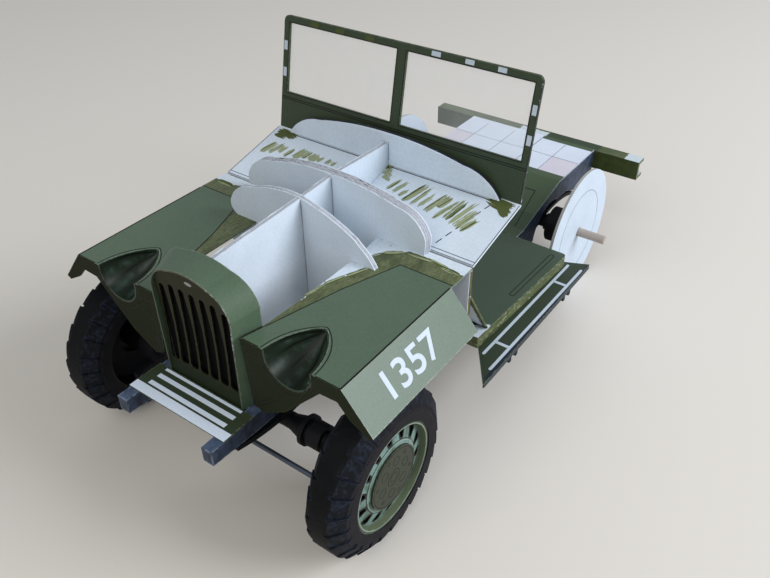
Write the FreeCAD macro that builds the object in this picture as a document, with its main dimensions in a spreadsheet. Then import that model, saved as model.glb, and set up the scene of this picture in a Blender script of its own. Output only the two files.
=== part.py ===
"""Half-finished 1:25 card model of a small army 4x4 car, as a parametric document.

Everything is drawn from the centre of the front wheels' axis, seen from above the ground:
x is the car's left, y runs back along the car, z is the height above the ground.
Each sub-part's Placement then shifts it along y, so that the part's origin lies on the
ground under the middle of the whole length.
"""
import FreeCAD, Part
import os
import re

import Sketcher

doc = FreeCAD.newDocument("CardCar")

# ---------------------------------------------------------------------------
# Driving dimensions, in millimetres and degrees: (alias, value, meaning)
# ---------------------------------------------------------------------------
SIZES = [
    # overall
    ("wheelbase", 84.0, "front axle to rear axle"),
    ("tyre_radius", 15.0, "front tyres and bare rear discs"),
    ("nose_overhang", 17.85, "rail tips ahead of the front axle"),
    ("tail_overhang", 24.9, "front face of the rear beam behind the rear axle"),
    ("paper", 0.3, "printed sheet"),
    ("board", 1.0, "former board"),
    ("gap", 0.1, "clearance of slotted and neighbouring card"),
    # frame
    ("rail_over_axle", 7.94, "top of the rails at the nose, over the front axle"),
    ("rail_width", 2.2, "rail, across"),
    ("rail_depth", 3.6, "rail, up and down"),
    ("rail_outer_front", 10.92, "outer face of the rails at the nose"),
    ("rail_outer_rear", 17.5, "outer face of the rails at the rear axle"),
    ("waist_drop", 6.74, "the rails dip this far between the axles"),
    ("arch_rise", 0.2, "crown of the rear arches over the nose rails"),
    ("tail_depth", 7.6, "rail depth behind the rear arches"),
    ("member_depth", 2.2, "cross members, up and down"),
    ("member_length", 3.0, "cross members, front to back"),
    ("cover_length", 6.7, "front cover panel, front to back"),
    # engine bay
    ("shell_front", 8.4, "front edge of the radiator shell ahead of the axle"),
    ("shell_length", 4.9, "radiator shell, front to back"),
    ("shell_front_half", 8.8, "half width of the shell's front edge"),
    ("shell_spread", 1.6, "the shell's rear edge is this much wider to each side"),
    ("shell_front_rise", 23.46, "top of the shell's front edge over the rails"),
    ("shell_rear_rise", 24.36, "top of the shell's rear edge over the rails"),
    ("shell_shoulder", 5.4, "height of the shell's rounded top"),
    ("slot_width", 1.84, "grille slots, below the taper"),
    ("slot_neck", 1.2, "grille slots, at their narrow tops"),
    ("slot_foot", 2.96, "bottom of the grille slots over the rails"),
    ("slot_height", 16.5, "grille slots, end to end"),
    ("slot_taper", 7.4, "the slots narrow over this length at their tops"),
    ("grille_hollow", 0.7, "how far the grille's middle is dished back"),
    ("core_thick", 2.6, "block behind the grille"),
    ("wing_rise", 15.46, "flat top of the front wings over the rails"),
    ("wing_half", 28.9, "fold between wing top and flange"),
    ("flange_out", 5.5, "flange, outwards"),
    ("flange_drop", 6.6, "flange, downwards"),
    ("flange_short", 7.2, "the flange ends this far ahead of the cowl"),
    ("scoop_radius", 4.4, "mouth of the headlamp scoops"),
    ("scoop_length", 9.3, "headlamp scoops, mouth to tip"),
    ("scoop_sink", 0.7, "axis of the scoops below the flat wing top"),
    ("spine_rise", 23.56, "top of the bonnet spine over the rails"),
    ("former_c_thick", 2.0, "thick bonnet former, four layers"),
    ("former_c_half", 20.5, "half width of the thick bonnet former"),
    ("former_c_rise", 9.6, "thick bonnet former over the wings"),
    ("former_b_ahead", 8.4, "front bonnet former ahead of the thick one"),
    ("former_b_half", 16.6, "half width of the front bonnet former"),
    ("former_b_rise", 8.8, "front bonnet former over the wings"),
    # cowl and windscreen
    ("cowl_front", 28.4, "front edge of the cowl deck behind the axle"),
    ("cowl_length", 16.3, "cowl deck, front to back"),
    ("cowl_rise", 4.0, "the deck climbs this much to the windscreen"),
    ("screen_lean", 10.5, "windscreen leans back, degrees"),
    ("screen_height", 22.8, "windscreen, along its own face"),
    ("screen_half", 28.5, "windscreen half width"),
    ("screen_bar", 1.4, "top and side bars of the windscreen"),
    ("screen_sill", 7.6, "solid strip below the panes"),
    ("screen_post", 2.2, "middle post of the windscreen"),
    ("screen_corner", 1.2, "cut corners of the windscreen"),
    ("former_k_height", 6.5, "crescent former on the cowl"),
    ("former_k_half", 24.8, "half width of the crescent former"),
    ("knee_drop", 6.1, "bend of the toe board below the wings"),
    ("toe_reach", 8.8, "foot of the toe board behind the firewall"),
    # floor and steps
    ("floor_depth", 2.6, "floor box, up and down"),
    ("floor_start", 5.1, "front edge of the floor box behind the firewall"),
    ("floor_half_front", 28.1, "half width of the floor box, front"),
    ("floor_half_rear", 29.7, "half width of the floor box, rear"),
    ("step_outer", 34.0, "outer edge of the running boards"),
    ("step_width", 7.0, "running boards, with the strip glued under the floor"),
    ("step_lead", 2.9, "front tip of the running boards ahead of the cowl"),
    ("step_rear", 12.6, "rear end of the running boards ahead of the rear axle"),
    ("step_lip", 1.2, "turned-down edge of the running boards"),
    ("bracket_length", 4.8, "toothed plate of a step bracket, front to back"),
    ("bracket_drop", 3.7, "teeth of the step brackets below the boards"),
    # rear
    ("beam_half", 29.2, "rear beam half length"),
    ("beam_height", 4.8, "rear beam, up and down"),
    ("beam_depth", 3.4, "rear beam, front to back"),
    ("disc_outer", 25.8, "outer face of the bare rear discs"),
    ("disc_thick", 0.6, "bare rear disc"),
    ("peg_radius", 1.0, "wooden peg"),
    ("peg_out", 6.5, "the peg stands out of the discs"),
    ("running_gap", 0.1, "bearing clearance, on the radius"),
    # front wheels and axle
    ("tyre_outer", 32.7, "outer face of the front tyres"),
    ("tyre_width", 7.8, "front tyres, across"),
    ("bevel_width", 1.7, "bevelled shoulders of the tyres, across"),
    ("bevel_drop", 2.4, "bevelled shoulders of the tyres, towards the axle"),
    ("rim_radius", 9.9, "rim and inside of the tyre"),
    ("hub_radius", 5.8, "raised hub disc"),
    ("stub_radius", 1.2, "stub axle"),
    ("tube_radius", 1.5, "axle tubes"),
    ("housing_radius", 4.3, "differential housings"),
    ("collar_x", 14.4, "flanges of the front axle ends, out from the centre line"),
    ("collar_radius", 2.9, "flanges of the front axle ends"),
    ("drum_radius", 4.1, "rear axle end drums"),
    ("drum_length", 5.6, "rear axle end drums"),
    ("neck_radius", 2.0, "rear axle beside its drums"),
    ("face_fall", 0.9, "the wheel face falls in this much from hub to rim"),
    ("leaf", 0.9, "leaf spring packs, up and down"),
    ("rod_ahead", 6.1, "tie rod ahead of the front axle"),
    ("rod_below", 2.2, "tie rod below the front axle"),
    ("rod_radius", 0.45, "tie rod"),
]

# Places that follow from the sizes: every height stands on the tyres, the nose hangs on
# the radiator, and the wings, formers, toe board, floor and steps meet at the cowl.
DERIVED = {
    "frame_top": "tyre_radius + rail_over_axle",
    "frame_under": "frame_top - rail_depth",
    "waist_top": "frame_top - waist_drop",
    "arch_top": "frame_top + arch_rise",
    "wing_top": "frame_top + wing_rise",
    "wing_under": "wing_top - paper",
    "wing_front": "shell_front - 0.7",
    "wing_rear": "cowl_front - 0.5",
    "flange_rear": "cowl_front - flange_short",
    "scoop_x": "(shell_rear_half + wing_half) / 2 - 0.8",
    "shell_rear": "shell_front - shell_length",
    "shell_rear_half": "shell_front_half + shell_spread",
    "shell_front_top": "frame_top + shell_front_rise",
    "shell_rear_top": "frame_top + shell_rear_rise",
    "shell_base": "frame_top + gap",
    "slot_pitch": "shell_front_half * 0.262",
    "slot_low": "frame_top + slot_foot",
    "slot_high": "slot_low + slot_height",
    "spine_top": "frame_top + spine_rise",
    "spine_half": "board * 0.45",
    "lap_half": "spine_half + gap / 2",
    "lap_top": "wing_top - 4",
    "former_c_y": "cowl_front - former_c_thick - gap",
    "former_b_y": "former_c_y - former_b_ahead",
    "former_k_y": "cowl_rear - gap - board",
    "cowl_rear": "cowl_front + cowl_length",
    "cowl_half": "wing_half - 0.1",
    "deck_rear_top": "wing_top + cowl_rise",
    "toe_knee": "wing_top - knee_drop",
    "toe_foot": "cowl_front + toe_reach",
    "floor_top": "waist_top + floor_depth",
    "floor_front": "cowl_front + floor_start",
    "floor_rear": "wheelbase - tyre_radius - 0.6",
    "step_top": "waist_top",
    "step_inner": "step_outer - step_width",
    "step_front": "cowl_front - step_lead",
    "beam_front": "wheelbase + tail_overhang",
    "peg_half": "disc_outer + peg_out",
    "tyre_inner": "tyre_outer - tyre_width",
    "knuckle_in": "tyre_inner - 3.4",
    "rear_end": "disc_outer - disc_thick - 0.6",
    "bore": "stub_radius + running_gap",
    "wheel_face": "tyre_outer - 0.6",
    "origin_shift": "-(wheelbase + tail_overhang + beam_depth - nose_overhang) / 2",
    "kick_front": "cowl_front + 0.6",
    "kick_foot": "floor_front - 0.2",
    "spread_from": "cowl_front - 12",
    "spread_to": "wheelbase - 34",
    "arch_start": "wheelbase - 12.3",
    "arch_crown": "wheelbase + 5",
}

sheet = doc.addObject("Spreadsheet::Sheet", "Sizes")
ALIASES = set()
for row, (alias, value, meaning) in enumerate(SIZES, start=1):
    sheet.set(f"A{row}", meaning)
    sheet.set(f"B{row}", str(value))
    sheet.setAlias(f"B{row}", alias)
    ALIASES.add(alias)
doc.recompute()


def written_out(expression):
    """The expression with every derived place written out in the sheet's aliases."""
    def write_out(match):
        word = match.group(0)
        return f"({written_out(DERIVED[word])})" if word in DERIVED else word
    return re.sub(r"[a-z_]+", write_out, str(expression))


def bound(expression):
    """The expression with every alias written as a reference to the sheet."""
    def refer(match):
        word = match.group(0)
        return "Sizes." + word if word in ALIASES else word
    return re.sub(r"[a-z_]+", refer, written_out(expression))


def number(expression):
    """The present value of an expression."""
    result = sheet.evalExpression(written_out(expression))
    return float(getattr(result, "Value", result))


def vector(u, v):
    return FreeCAD.Vector(u, v, 0)


# ---------------------------------------------------------------------------
# Sketch and feature helpers
# ---------------------------------------------------------------------------
def place(thing, y="0", z="0"):
    """Carry a sub-part from the front axle's frame to the part's frame."""
    thing.setExpression("Placement.Base.y", bound(f"origin_shift + {y}"))
    thing.setExpression("Placement.Base.z", bound(z))


def new_body(label):
    body = doc.addObject("PartDesign::Body", label)
    body.Label = label
    return body


def new_sketch(body, plane, offset="0"):
    """An empty sketch on one of the body's own origin planes, moved along its normal."""
    sketch = body.newObject("Sketcher::SketchObject", body.Name + "_sketch")
    support = [f for f in body.Origin.OriginFeatures if f.Role == plane + "_Plane"][0]
    sketch.AttachmentSupport = [(support, "")]
    sketch.MapMode = "FlatFace"
    sketch.setExpression("AttachmentOffset.Base.z", bound(offset))
    return sketch


def pin_point(sketch, geometry, end, u, v):
    """Fix one point of a sketch with two named, expression-bound distances."""
    for kind, text in (("DistanceX", u), ("DistanceY", v)):
        index = sketch.addConstraint(
            Sketcher.Constraint(kind, -1, 1, geometry, end, number(text)))
        name = f"{kind[-1].lower()}{index}"
        sketch.renameConstraint(index, name)
        sketch.setExpression("Constraints." + name, bound(text))


def outline(sketch, points):
    """A closed outline through (u, v) expressions; a third entry "arc" marks the point
    that an arc passes through on its way from the point before to the point after."""
    places = [(number(p[0]), number(p[1])) for p in points]
    count = len(points)
    corners = [i for i in range(count) if len(points[i]) == 2]
    starts = {}
    ends = {}
    for k, i in enumerate(corners):
        j = corners[(k + 1) % len(corners)]
        a, b = vector(*places[i]), vector(*places[j])
        if (i + 1) % count == j:
            edge = sketch.addGeometry(Part.LineSegment(a, b), False)
        else:
            through = vector(*places[i + 1])
            edge = sketch.addGeometry(Part.Arc(a, through, b), False)
            mark = sketch.addGeometry(Part.Point(through), True)
            pin_point(sketch, mark, 1, *points[i + 1][:2])
            sketch.addConstraint(Sketcher.Constraint("PointOnObject", mark, 1, edge))
        flipped = (sketch.getPoint(edge, 1) - a).Length > (sketch.getPoint(edge, 2) - a).Length
        starts[i] = (edge, 2 if flipped else 1)
        ends[j] = (edge, 1 if flipped else 2)
    for i in corners:
        pin_point(sketch, *starts[i], *points[i])
        sketch.addConstraint(Sketcher.Constraint("Coincident", *ends[i], *starts[i]))


def feature(body, kind, sketch):
    made = body.newObject("PartDesign::" + kind, body.Name + "_" + kind.lower())
    made.Profile = sketch
    return made


def pad(body, sketch, length, both_ways=False):
    made = feature(body, "Pad", sketch)
    made.setExpression("Length", bound(length))
    made.SideType = "Symmetric" if both_ways else "One side"
    return made


def pocket(body, sketch, length):
    made = feature(body, "Pocket", sketch)
    made.setExpression("Length", bound(length))
    return made


def mirrored(points):
    """The outline's points with u negated, in the opposite order."""
    flipped = [(f"-({p[0]})", *p[1:]) for p in points]
    return flipped[::-1]


def both_sides(points):
    """Join a right-hand chain of points, bottom to top, with its mirror image."""
    left = mirrored(points)
    if str(points[-1][0]) == "0":
        left = left[1:]
    return list(points) + left


def side_profile(label, points, half_width):
    """A body of constant side view (y, z), the same width to both sides of the middle."""
    body = new_body(label)
    sketch = new_sketch(body, "YZ")
    outline(sketch, points)
    pad(body, sketch, f"2 * ({half_width})", both_ways=True)
    place(body)
    return body


def cross_board(label, points, front, thickness):
    """A flat board across the car: outline (x, z), front face at y = front."""
    body = new_body(label)
    sketch = new_sketch(body, "XZ", f"-({front}) - ({thickness})")
    outline(sketch, points)
    pad(body, sketch, thickness)
    place(body)
    return body


def rectangle(u0, v0, u1, v1):
    return [(u0, v0), (u1, v0), (u1, v1), (u0, v1)]


def band(points, thickness_z):
    """A sheet's side view: its top line and the same line lowered by the sheet."""
    lowered = [(p[0], f"{p[1]} - ({thickness_z})", *p[2:]) for p in points]
    return list(points) + lowered[::-1]


def boolean(kind, label, base, tool):
    made = doc.addObject("Part::" + kind, label)
    made.Label = label
    made.Base = base
    made.Tool = tool
    return made


PARTS = []


def keep(thing):
    PARTS.append(thing)
    return thing


def mirror(label, source):
    """The same piece on the car's right."""
    made = doc.addObject("Part::Mirroring", label)
    made.Label = label
    made.Source = source
    made.Normal = FreeCAD.Vector(1, 0, 0)
    return made


def keep_pair(make, name):
    """A left-hand sub-part and its mirror image, both kept."""
    left = keep(make(name + "_left"))
    keep(mirror(name + "_right", left))


# ---------------------------------------------------------------------------
# Ladder frame
# ---------------------------------------------------------------------------


def frame_rail(label):
    """One rail: a side view with kick-ups over both axles, cut to its splayed plan."""
    side = new_body(label + "_side")
    sketch = new_sketch(side, "YZ")
    outline(sketch, [
        ("-nose_overhang", "frame_under + 0.7"),
        ("-wing_front", "frame_under"),
        ("kick_front - 2.4", "frame_under"),
        ("kick_foot - 1.2", "waist_top - rail_depth"),
        ("arch_start + 5.9", "waist_top - rail_depth"),
        ("arch_start + 8", "arch_top - rail_depth - 2.6", "arc"),
        ("arch_crown", "arch_top - rail_depth - 1"),
        ("arch_crown + 5", "arch_top - rail_depth - 1.1"),
        ("arch_crown + 12", "arch_top - tail_depth"),
        ("beam_front", "arch_top - tail_depth"),
        ("beam_front", "arch_top"),
        ("arch_crown", "arch_top"),
        ("arch_start + 7.4", "arch_top - 2.6", "arc"),
        ("arch_start", "floor_top - paper"),
        ("floor_rear + gap", "floor_top - paper"),
        ("floor_rear + gap", "waist_top"),
        ("kick_foot", "waist_top"),
        ("kick_front", "frame_top"),
        ("-nose_overhang", "frame_top"),
    ])
    pad(side, sketch, "4 * rail_outer_rear", both_ways=True)
    plan = new_body(label + "_plan")
    sketch = new_sketch(plan, "XY")
    outer = [
        ("rail_outer_front", "-nose_overhang"),
        ("rail_outer_front", "spread_from"),
        ("rail_outer_rear", "spread_to"),
        ("rail_outer_rear", "beam_front"),
    ]
    inner = [(f"{u} - rail_width", v) for u, v in outer]
    outline(sketch, outer + inner[::-1])
    pad(plan, sketch, "3 * frame_top")
    rail = boolean("Common", label, side, plan)
    place(rail)
    return rail


keep_pair(frame_rail, "frame_rail")


def box(label, low, high):
    """A plain block between two corners, each given as three expressions."""
    made = doc.addObject("Part::Box", label)
    made.Label = label
    for name, a, b in zip(("Length", "Width", "Height"), low, high):
        made.setExpression(name, bound(f"({b}) - ({a})"))
    made.setExpression("Placement.Base.x", bound(low[0]))
    made.setExpression("Placement.Base.y", bound(low[1]))
    made.setExpression("Placement.Base.z", bound(low[2]))
    return made


def fused(label, things):
    made = doc.addObject("Part::MultiFuse", label)
    made.Label = label
    made.Shapes = things
    place(made)
    return made


# cross members between the rails: (y of the front face, rail outer face, top)
CROSS_MEMBERS = [
    ("-shell_front - 3.2", "rail_outer_front", "frame_top"),
    ("cowl_front - 15", "rail_outer_front", "frame_top"),
    ("wheelbase - 28", "rail_outer_rear", "waist_top"),
    ("wheelbase + 16", "rail_outer_rear", "arch_top"),
]


def cross_member(index, front, outer, top):
    half = f"({outer} - rail_width)"
    return box(f"cross_member_{index}",
               (f"-{half}", front, f"{top} - member_depth"),
               (half, f"{front} + member_length", top))


keep(fused("cross_members",
           [cross_member(i, *row) for i, row in enumerate(CROSS_MEMBERS)]))

# ---------------------------------------------------------------------------
# Nose: cover panel, radiator shell with its grille, and the block behind it
# ---------------------------------------------------------------------------
cover = side_profile("front_cover_panel",
                     rectangle("-shell_front - gap - cover_length", "frame_top",
                               "-shell_front - gap", "frame_top + paper"),
                     "rail_outer_front + 0.1")
keep(cover)


def arch(half, top, inset="0"):
    """The radiator's arched outline, drawn in from its outer line by an inset."""
    def x(share):
        return f"({half}) * {share} - ({inset})"
    return [
        (x("0.965"), "shell_base"),
        (x("1"), f"({top}) - shell_shoulder"),
        (f"({half}) * 0.85 - ({inset}) * 0.8", f"({top}) - 2.5 - ({inset}) * 0.6", "arc"),
        (f"({half}) * 0.5 - ({inset}) * 0.5", f"({top}) - 0.85 - ({inset}) * 0.9"),
        ("0", f"({top}) - ({inset})", "arc"),
        (f"-({half}) * 0.5 + ({inset}) * 0.5", f"({top}) - 0.85 - ({inset}) * 0.9"),
        (f"-({half}) * 0.85 + ({inset}) * 0.8", f"({top}) - 2.5 - ({inset}) * 0.6", "arc"),
        (f"-({half}) + ({inset})", f"({top}) - shell_shoulder"),
        (f"-({half}) * 0.965 + ({inset})", "shell_base"),
    ]


def opened_below(points):
    """The arch with its two feet drawn down past the shell's base."""
    low = "shell_base - 1"
    return [(points[0][0], low)] + points[1:-1] + [(points[-1][0], low)]


def radiator_shell():
    """A band that widens backwards: one loft cut by a second, smaller loft."""
    body = new_body("radiator_shell")
    for kind, inset, extra in (("AdditiveLoft", "0", "0"), ("SubtractiveLoft", "paper", "gap")):
        front = new_sketch(body, "XZ", f"shell_front + {extra}")
        points = arch("shell_front_half", "shell_front_top", inset)
        rear = new_sketch(body, "XZ", f"shell_rear - {extra}")
        rear_points = arch("shell_rear_half", "shell_rear_top", inset)
        if kind == "SubtractiveLoft":
            points = opened_below(points)
            rear_points = opened_below(rear_points)
        outline(front, points)
        outline(rear, rear_points)
        loft = body.newObject("PartDesign::" + kind, "radiator_" + kind.lower())
        loft.Profile = front
        loft.Sections = [rear]
        loft.Ruled = True
    place(body)
    return body


keep(radiator_shell())

SLOT_COUNT = 7


def slot_outline(center, low, high):
    """A round-ended upright slot that narrows towards its top."""
    rows = [
        ("slot_neck", f"{high} - slot_neck / 2"),
        ("slot_width", f"{high} - slot_taper"),
        ("slot_width", f"{low} + slot_width / 2"),
    ]
    right = [(f"{center} + {width} / 2", height) for width, height in rows]
    left = [(f"{center} - {width} / 2", height) for width, height in rows]
    return right + [(center, low, "arc")] + left[::-1] + [(center, high, "arc")]


def grille():
    """A dished sheet cut to the arch, with its row of upright slots."""
    dished = new_body("grille_dish")
    sketch = new_sketch(dished, "YZ")
    front = "-shell_front + 0.15"
    middle = "(frame_top + shell_front_top) / 2"
    outline(sketch, [
        (front, "shell_base"),
        (f"{front} + grille_hollow", middle, "arc"),
        (front, "shell_front_top"),
        (f"{front} + paper", "shell_front_top"),
        (f"{front} + grille_hollow + paper", middle, "arc"),
        (f"{front} + paper", "shell_base"),
    ])
    pad(dished, sketch, "4 * shell_front_half", both_ways=True)
    face = new_body("grille_face")
    sketch = new_sketch(face, "XZ", "0")
    outline(sketch, arch("shell_front_half", "shell_front_top", "paper + gap"))
    for k in range(SLOT_COUNT):
        step = k - SLOT_COUNT // 2
        drop = "0.7" if abs(step) == SLOT_COUNT // 2 else "0"
        outline(sketch, slot_outline(f"{step} * slot_pitch", "slot_low",
                                     f"slot_high - {drop}"))
    pad(face, sketch, "2 * shell_front")
    made = boolean("Common", "grille", dished, face)
    place(made)
    return made


keep(grille())

core = cross_board("radiator_core",
                   arch("shell_front_half", "shell_front_top", "paper + 0.3"),
                   "-shell_front + grille_hollow + paper + 0.3", "core_thick")
keep(core)

# ---------------------------------------------------------------------------
# Front wings with their headlamp scoops
# ---------------------------------------------------------------------------


def scoop_profile(skin):
    """Half an ogive in (x, y), mouth forward: radius at the mouth, tip at the back."""
    mouth = "-wing_front"
    return [
        ("scoop_x", mouth),
        (f"scoop_x + scoop_radius + {skin}", mouth),
        (f"scoop_x + (scoop_radius + {skin}) * 0.66", f"{mouth} + scoop_length * 0.62", "arc"),
        ("scoop_x", f"{mouth} + scoop_length + {skin}"),
    ]


def wing(label):
    """Top, sloping flange and front skirt of one wing, folded from one sheet."""
    body = new_body(label)
    # top and flange, one folded section run along the car
    section = new_sketch(body, "XZ", "-flange_rear")
    inner = "wing_half - 3"
    outline(section, [
        (inner, "wing_top"),
        ("wing_half", "wing_top"),
        ("wing_half + flange_out", "wing_top - flange_drop"),
        ("wing_half + flange_out - paper * 1.2", "wing_top - flange_drop - paper * 0.3"),
        ("wing_half - paper * 0.6", "wing_under"),
        (inner, "wing_under"),
    ])
    pad(body, section, "flange_rear + wing_front")
    # the top sheet in plan, out to the bonnet opening and back to the cowl
    plan = new_sketch(body, "XY", "wing_under")
    outline(plan, [
        ("shell_front_half + 0.75", "-wing_front"),
        ("wing_half - 0.5", "-wing_front"),
        ("wing_half", "flange_rear"),
        ("wing_half", "wing_rear"),
        ("rail_outer_front + gap + 0.8", "wing_rear"),
        ("rail_outer_front + gap", "former_b_y + board + 1"),
        ("rail_outer_front + gap", "former_b_y - 13"),
        ("shell_rear_half + 0.2", "-shell_rear"),
    ])
    pad(body, plan, "paper")
    # front skirt
    skirt = new_sketch(body, "XZ", "wing_front - paper")
    outline(skirt, [
        ("shell_front_half + 0.75", "wing_top"),
        ("rail_outer_front - 0.4", "frame_top + 2.3"),
        ("rail_outer_front + 1.7", "frame_top + 1.4"),
        ("scoop_x - 1.3", "frame_top + 4.4"),
        ("wing_half - 4", "wing_top - 3"),
        ("wing_half - 0.8", "wing_top - 2.8"),
        ("wing_half + 1.3", "wing_top - 5.1"),
        ("wing_half + flange_out - 0.9", "wing_top - flange_drop - 0.5"),
        ("wing_half + flange_out", "wing_top - flange_drop"),
        ("wing_half", "wing_top"),
    ])
    pad(body, skirt, "paper")
    # opening of the headlamp scoop, through top and skirt
    hole = new_sketch(body, "XY", "wing_top - scoop_sink")
    outline(hole, scoop_profile("paper + gap"))
    cut = feature(body, "Groove", hole)
    cut.ReferenceAxis = revolve_axis(hole, "scoop_x")
    cut.Angle = 360
    place(body)
    return body


def revolve_axis(sketch, u):
    """A construction line along v at the given u, returned as the sketch's own axis."""
    line = sketch.addGeometry(
        Part.LineSegment(vector(number(u), -20), vector(number(u), 20)), True)
    pin_point(sketch, line, 1, u, "-20")
    pin_point(sketch, line, 2, u, "20")
    return (sketch, ["Axis0"])


def lamp_scoop(label):
    """The hollow leaf-shaped lamp nest: a thin revolved ogive, cut off level with the
    wing top a little above its own axis, so that its mouth is deeper than half round."""
    body = new_body(label)
    sketch = new_sketch(body, "XY", "wing_top - scoop_sink")
    outline(sketch, scoop_profile("paper")[1:] + scoop_profile("0")[1:][::-1])
    skin = feature(body, "Revolution", sketch)
    skin.ReferenceAxis = revolve_axis(sketch, "scoop_x")
    skin.Angle = 360
    level = new_sketch(body, "XZ", "wing_front + 1")
    outline(level, rectangle("scoop_x - 2 * scoop_radius", "wing_top",
                             "scoop_x + 2 * scoop_radius", "wing_top + 2 * scoop_radius"))
    cut = pocket(body, level, "scoop_length + 4")
    cut.Reversed = False
    place(body)
    return body


keep_pair(wing, "wing")
keep_pair(lamp_scoop, "lamp_scoop")

# ---------------------------------------------------------------------------
# Bonnet formers: a slotted spine, two cross formers and the cowl crescent
# ---------------------------------------------------------------------------

keep(side_profile("bonnet_spine_front", [
    ("-shell_front + 4", "frame_top"),
    ("former_c_y - gap", "frame_top"),
    ("former_c_y - gap", "spine_top + 1"),
    ("former_b_y + board + gap / 2", "spine_top + 0.65"),
    ("former_b_y + board + gap / 2", "lap_top"),
    ("former_b_y - gap / 2", "lap_top"),
    ("former_b_y - gap / 2", "spine_top + 0.6"),
    ("-shell_rear", "spine_top - 0.3"),
    ("-shell_front + 4", "spine_top - 0.5"),
], "spine_half"))

keep(cross_board("bonnet_former_front", [
    ("-lap_half", "frame_top"),
    ("-lap_half", "lap_top"),
    ("lap_half", "lap_top"),
    ("lap_half", "frame_top"),
    ("rail_outer_front", "frame_top"),
    ("rail_outer_front", "wing_top"),
    ("former_b_half * 0.96", "wing_top"),
    ("former_b_half * 0.9", "wing_top + former_b_rise * 0.19"),
    ("former_b_half * 0.72", "wing_top + former_b_rise * 0.5"),
    ("former_b_half * 0.4", "wing_top + former_b_rise * 0.79", "arc"),
    ("0", "wing_top + former_b_rise"),
    ("-former_b_half * 0.33", "wing_top + former_b_rise * 0.98", "arc"),
    ("-former_b_half * 0.67", "wing_top + former_b_rise * 0.8"),
    ("-former_b_half * 0.9", "wing_top + former_b_rise * 0.64", "arc"),
    ("-former_b_half", "wing_top + former_b_rise * 0.4"),
    ("-former_b_half * 1.02", "wing_top + former_b_rise * 0.16", "arc"),
    ("-former_b_half * 0.94", "wing_top"),
    ("-rail_outer_front", "wing_top"),
    ("-rail_outer_front", "frame_top"),
], "former_b_y", "board"))

former_top = cross_board("bonnet_former_rear_top", both_sides([
    ("former_c_half - 0.2", "wing_top"),
    ("former_c_half", "wing_top + former_c_rise * 0.29"),
    ("former_c_half * 0.907", "wing_top + former_c_rise * 0.625", "arc"),
    ("former_c_half * 0.707", "wing_top + former_c_rise * 0.8"),
    ("former_c_half * 0.361", "wing_top + former_c_rise * 0.96", "arc"),
    ("0", "wing_top + former_c_rise"),
]), "former_c_y", "former_c_thick")
former_foot = cross_board("bonnet_former_rear_foot",
                          rectangle("-rail_outer_front", "frame_top",
                                    "rail_outer_front", "wing_top"),
                          "former_c_y", "board - gap")
keep(boolean("Fuse", "bonnet_former_rear", former_top, former_foot))


def deck_height(y):
    """Height of the cowl deck's top face at y."""
    return f"(wing_top + cowl_rise * ({y} - cowl_front) / (cowl_rear - cowl_front))"


keep(side_profile("bonnet_spine_rear", [
    ("former_c_y + former_c_thick + gap", "wing_top + gap"),
    ("former_k_y - gap", deck_height("former_k_y - gap") + " + gap"),
    ("former_k_y - gap", "wing_top + 8.6"),
    ("former_c_y + former_c_thick + gap", "wing_top + 9.1"),
], "spine_half"))

K_BASE = deck_height("(cowl_rear - gap)")
keep(cross_board("cowl_former", both_sides([
    ("former_k_half", K_BASE),
    ("former_k_half * 0.87", f"{K_BASE} + former_k_height * 0.5", "arc"),
    ("former_k_half * 0.68", f"{K_BASE} + former_k_height * 0.72"),
    ("former_k_half * 0.36", f"{K_BASE} + former_k_height * 0.93", "arc"),
    ("0", f"{K_BASE} + former_k_height"),
]), "former_k_y", "board"))

# ---------------------------------------------------------------------------
# Cowl: deck, firewall, toe board and windscreen
# ---------------------------------------------------------------------------

keep(side_profile("cowl_deck", band([
    ("cowl_front", "wing_top"),
    ("cowl_rear", "deck_rear_top"),
], "paper"), "cowl_half"))

keep(cross_board("firewall",
                 rectangle("-cowl_half", "frame_top", "cowl_half", "wing_under"),
                 "cowl_front - board - gap", "board"))

keep(side_profile("toe_board", [
    ("cowl_front + gap", "wing_under - gap"),
    ("cowl_front + gap", "toe_knee"),
    ("toe_foot - 0.4", "floor_top + gap / 2"),
    ("toe_foot", "floor_top + gap / 2"),
    ("cowl_front + gap + 0.45", "toe_knee + 0.1"),
    ("cowl_front + gap + 0.45", "wing_under - gap"),
], "floor_half_front"))


def windscreen_frame():
    """The flat screen, drawn upright with its base on the local origin, then leaned back."""
    body = new_body("windscreen_frame")
    sketch = new_sketch(body, "XZ", "-board * 0.6")
    outline(sketch, both_sides([
        ("screen_half", "0"),
        ("screen_half", "screen_height - screen_corner"),
        ("screen_half - screen_corner * 0.3", "screen_height - screen_corner * 0.3", "arc"),
        ("screen_half - screen_corner", "screen_height"),
    ]))
    pane = rectangle("screen_post / 2", "screen_sill",
                     "screen_half - screen_bar", "screen_height - screen_bar")
    outline(sketch, pane)
    outline(sketch, mirrored(pane))
    pad(body, sketch, "board * 0.6")
    lean_back(body)
    return body


def lean_back(body):
    """Turn an upright sheet to the windscreen's lean and stand it behind the deck."""
    tilt = FreeCAD.Rotation(FreeCAD.Vector(-1, 0, 0), 1)
    body.Placement = FreeCAD.Placement(FreeCAD.Vector(0, 0, 0), tilt)
    body.setExpression("Placement.Rotation.Angle", bound("screen_lean"))
    place(body, "cowl_rear + gap", "deck_rear_top")


def windscreen_film():
    """One clear film for both panes, glued behind the frame."""
    body = new_body("windscreen_film")
    sketch = new_sketch(body, "XZ", "-board * 0.6 - paper * 0.5")
    outline(sketch, rectangle("-screen_half + 0.6", "screen_sill - 0.8",
                              "screen_half - 0.6", "screen_height - 0.6"))
    pad(body, sketch, "paper * 0.5")
    lean_back(body)
    return body


keep(windscreen_frame())
keep(windscreen_film())

# ---------------------------------------------------------------------------
# Floor box, rear cover sheet and running boards
# ---------------------------------------------------------------------------


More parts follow.
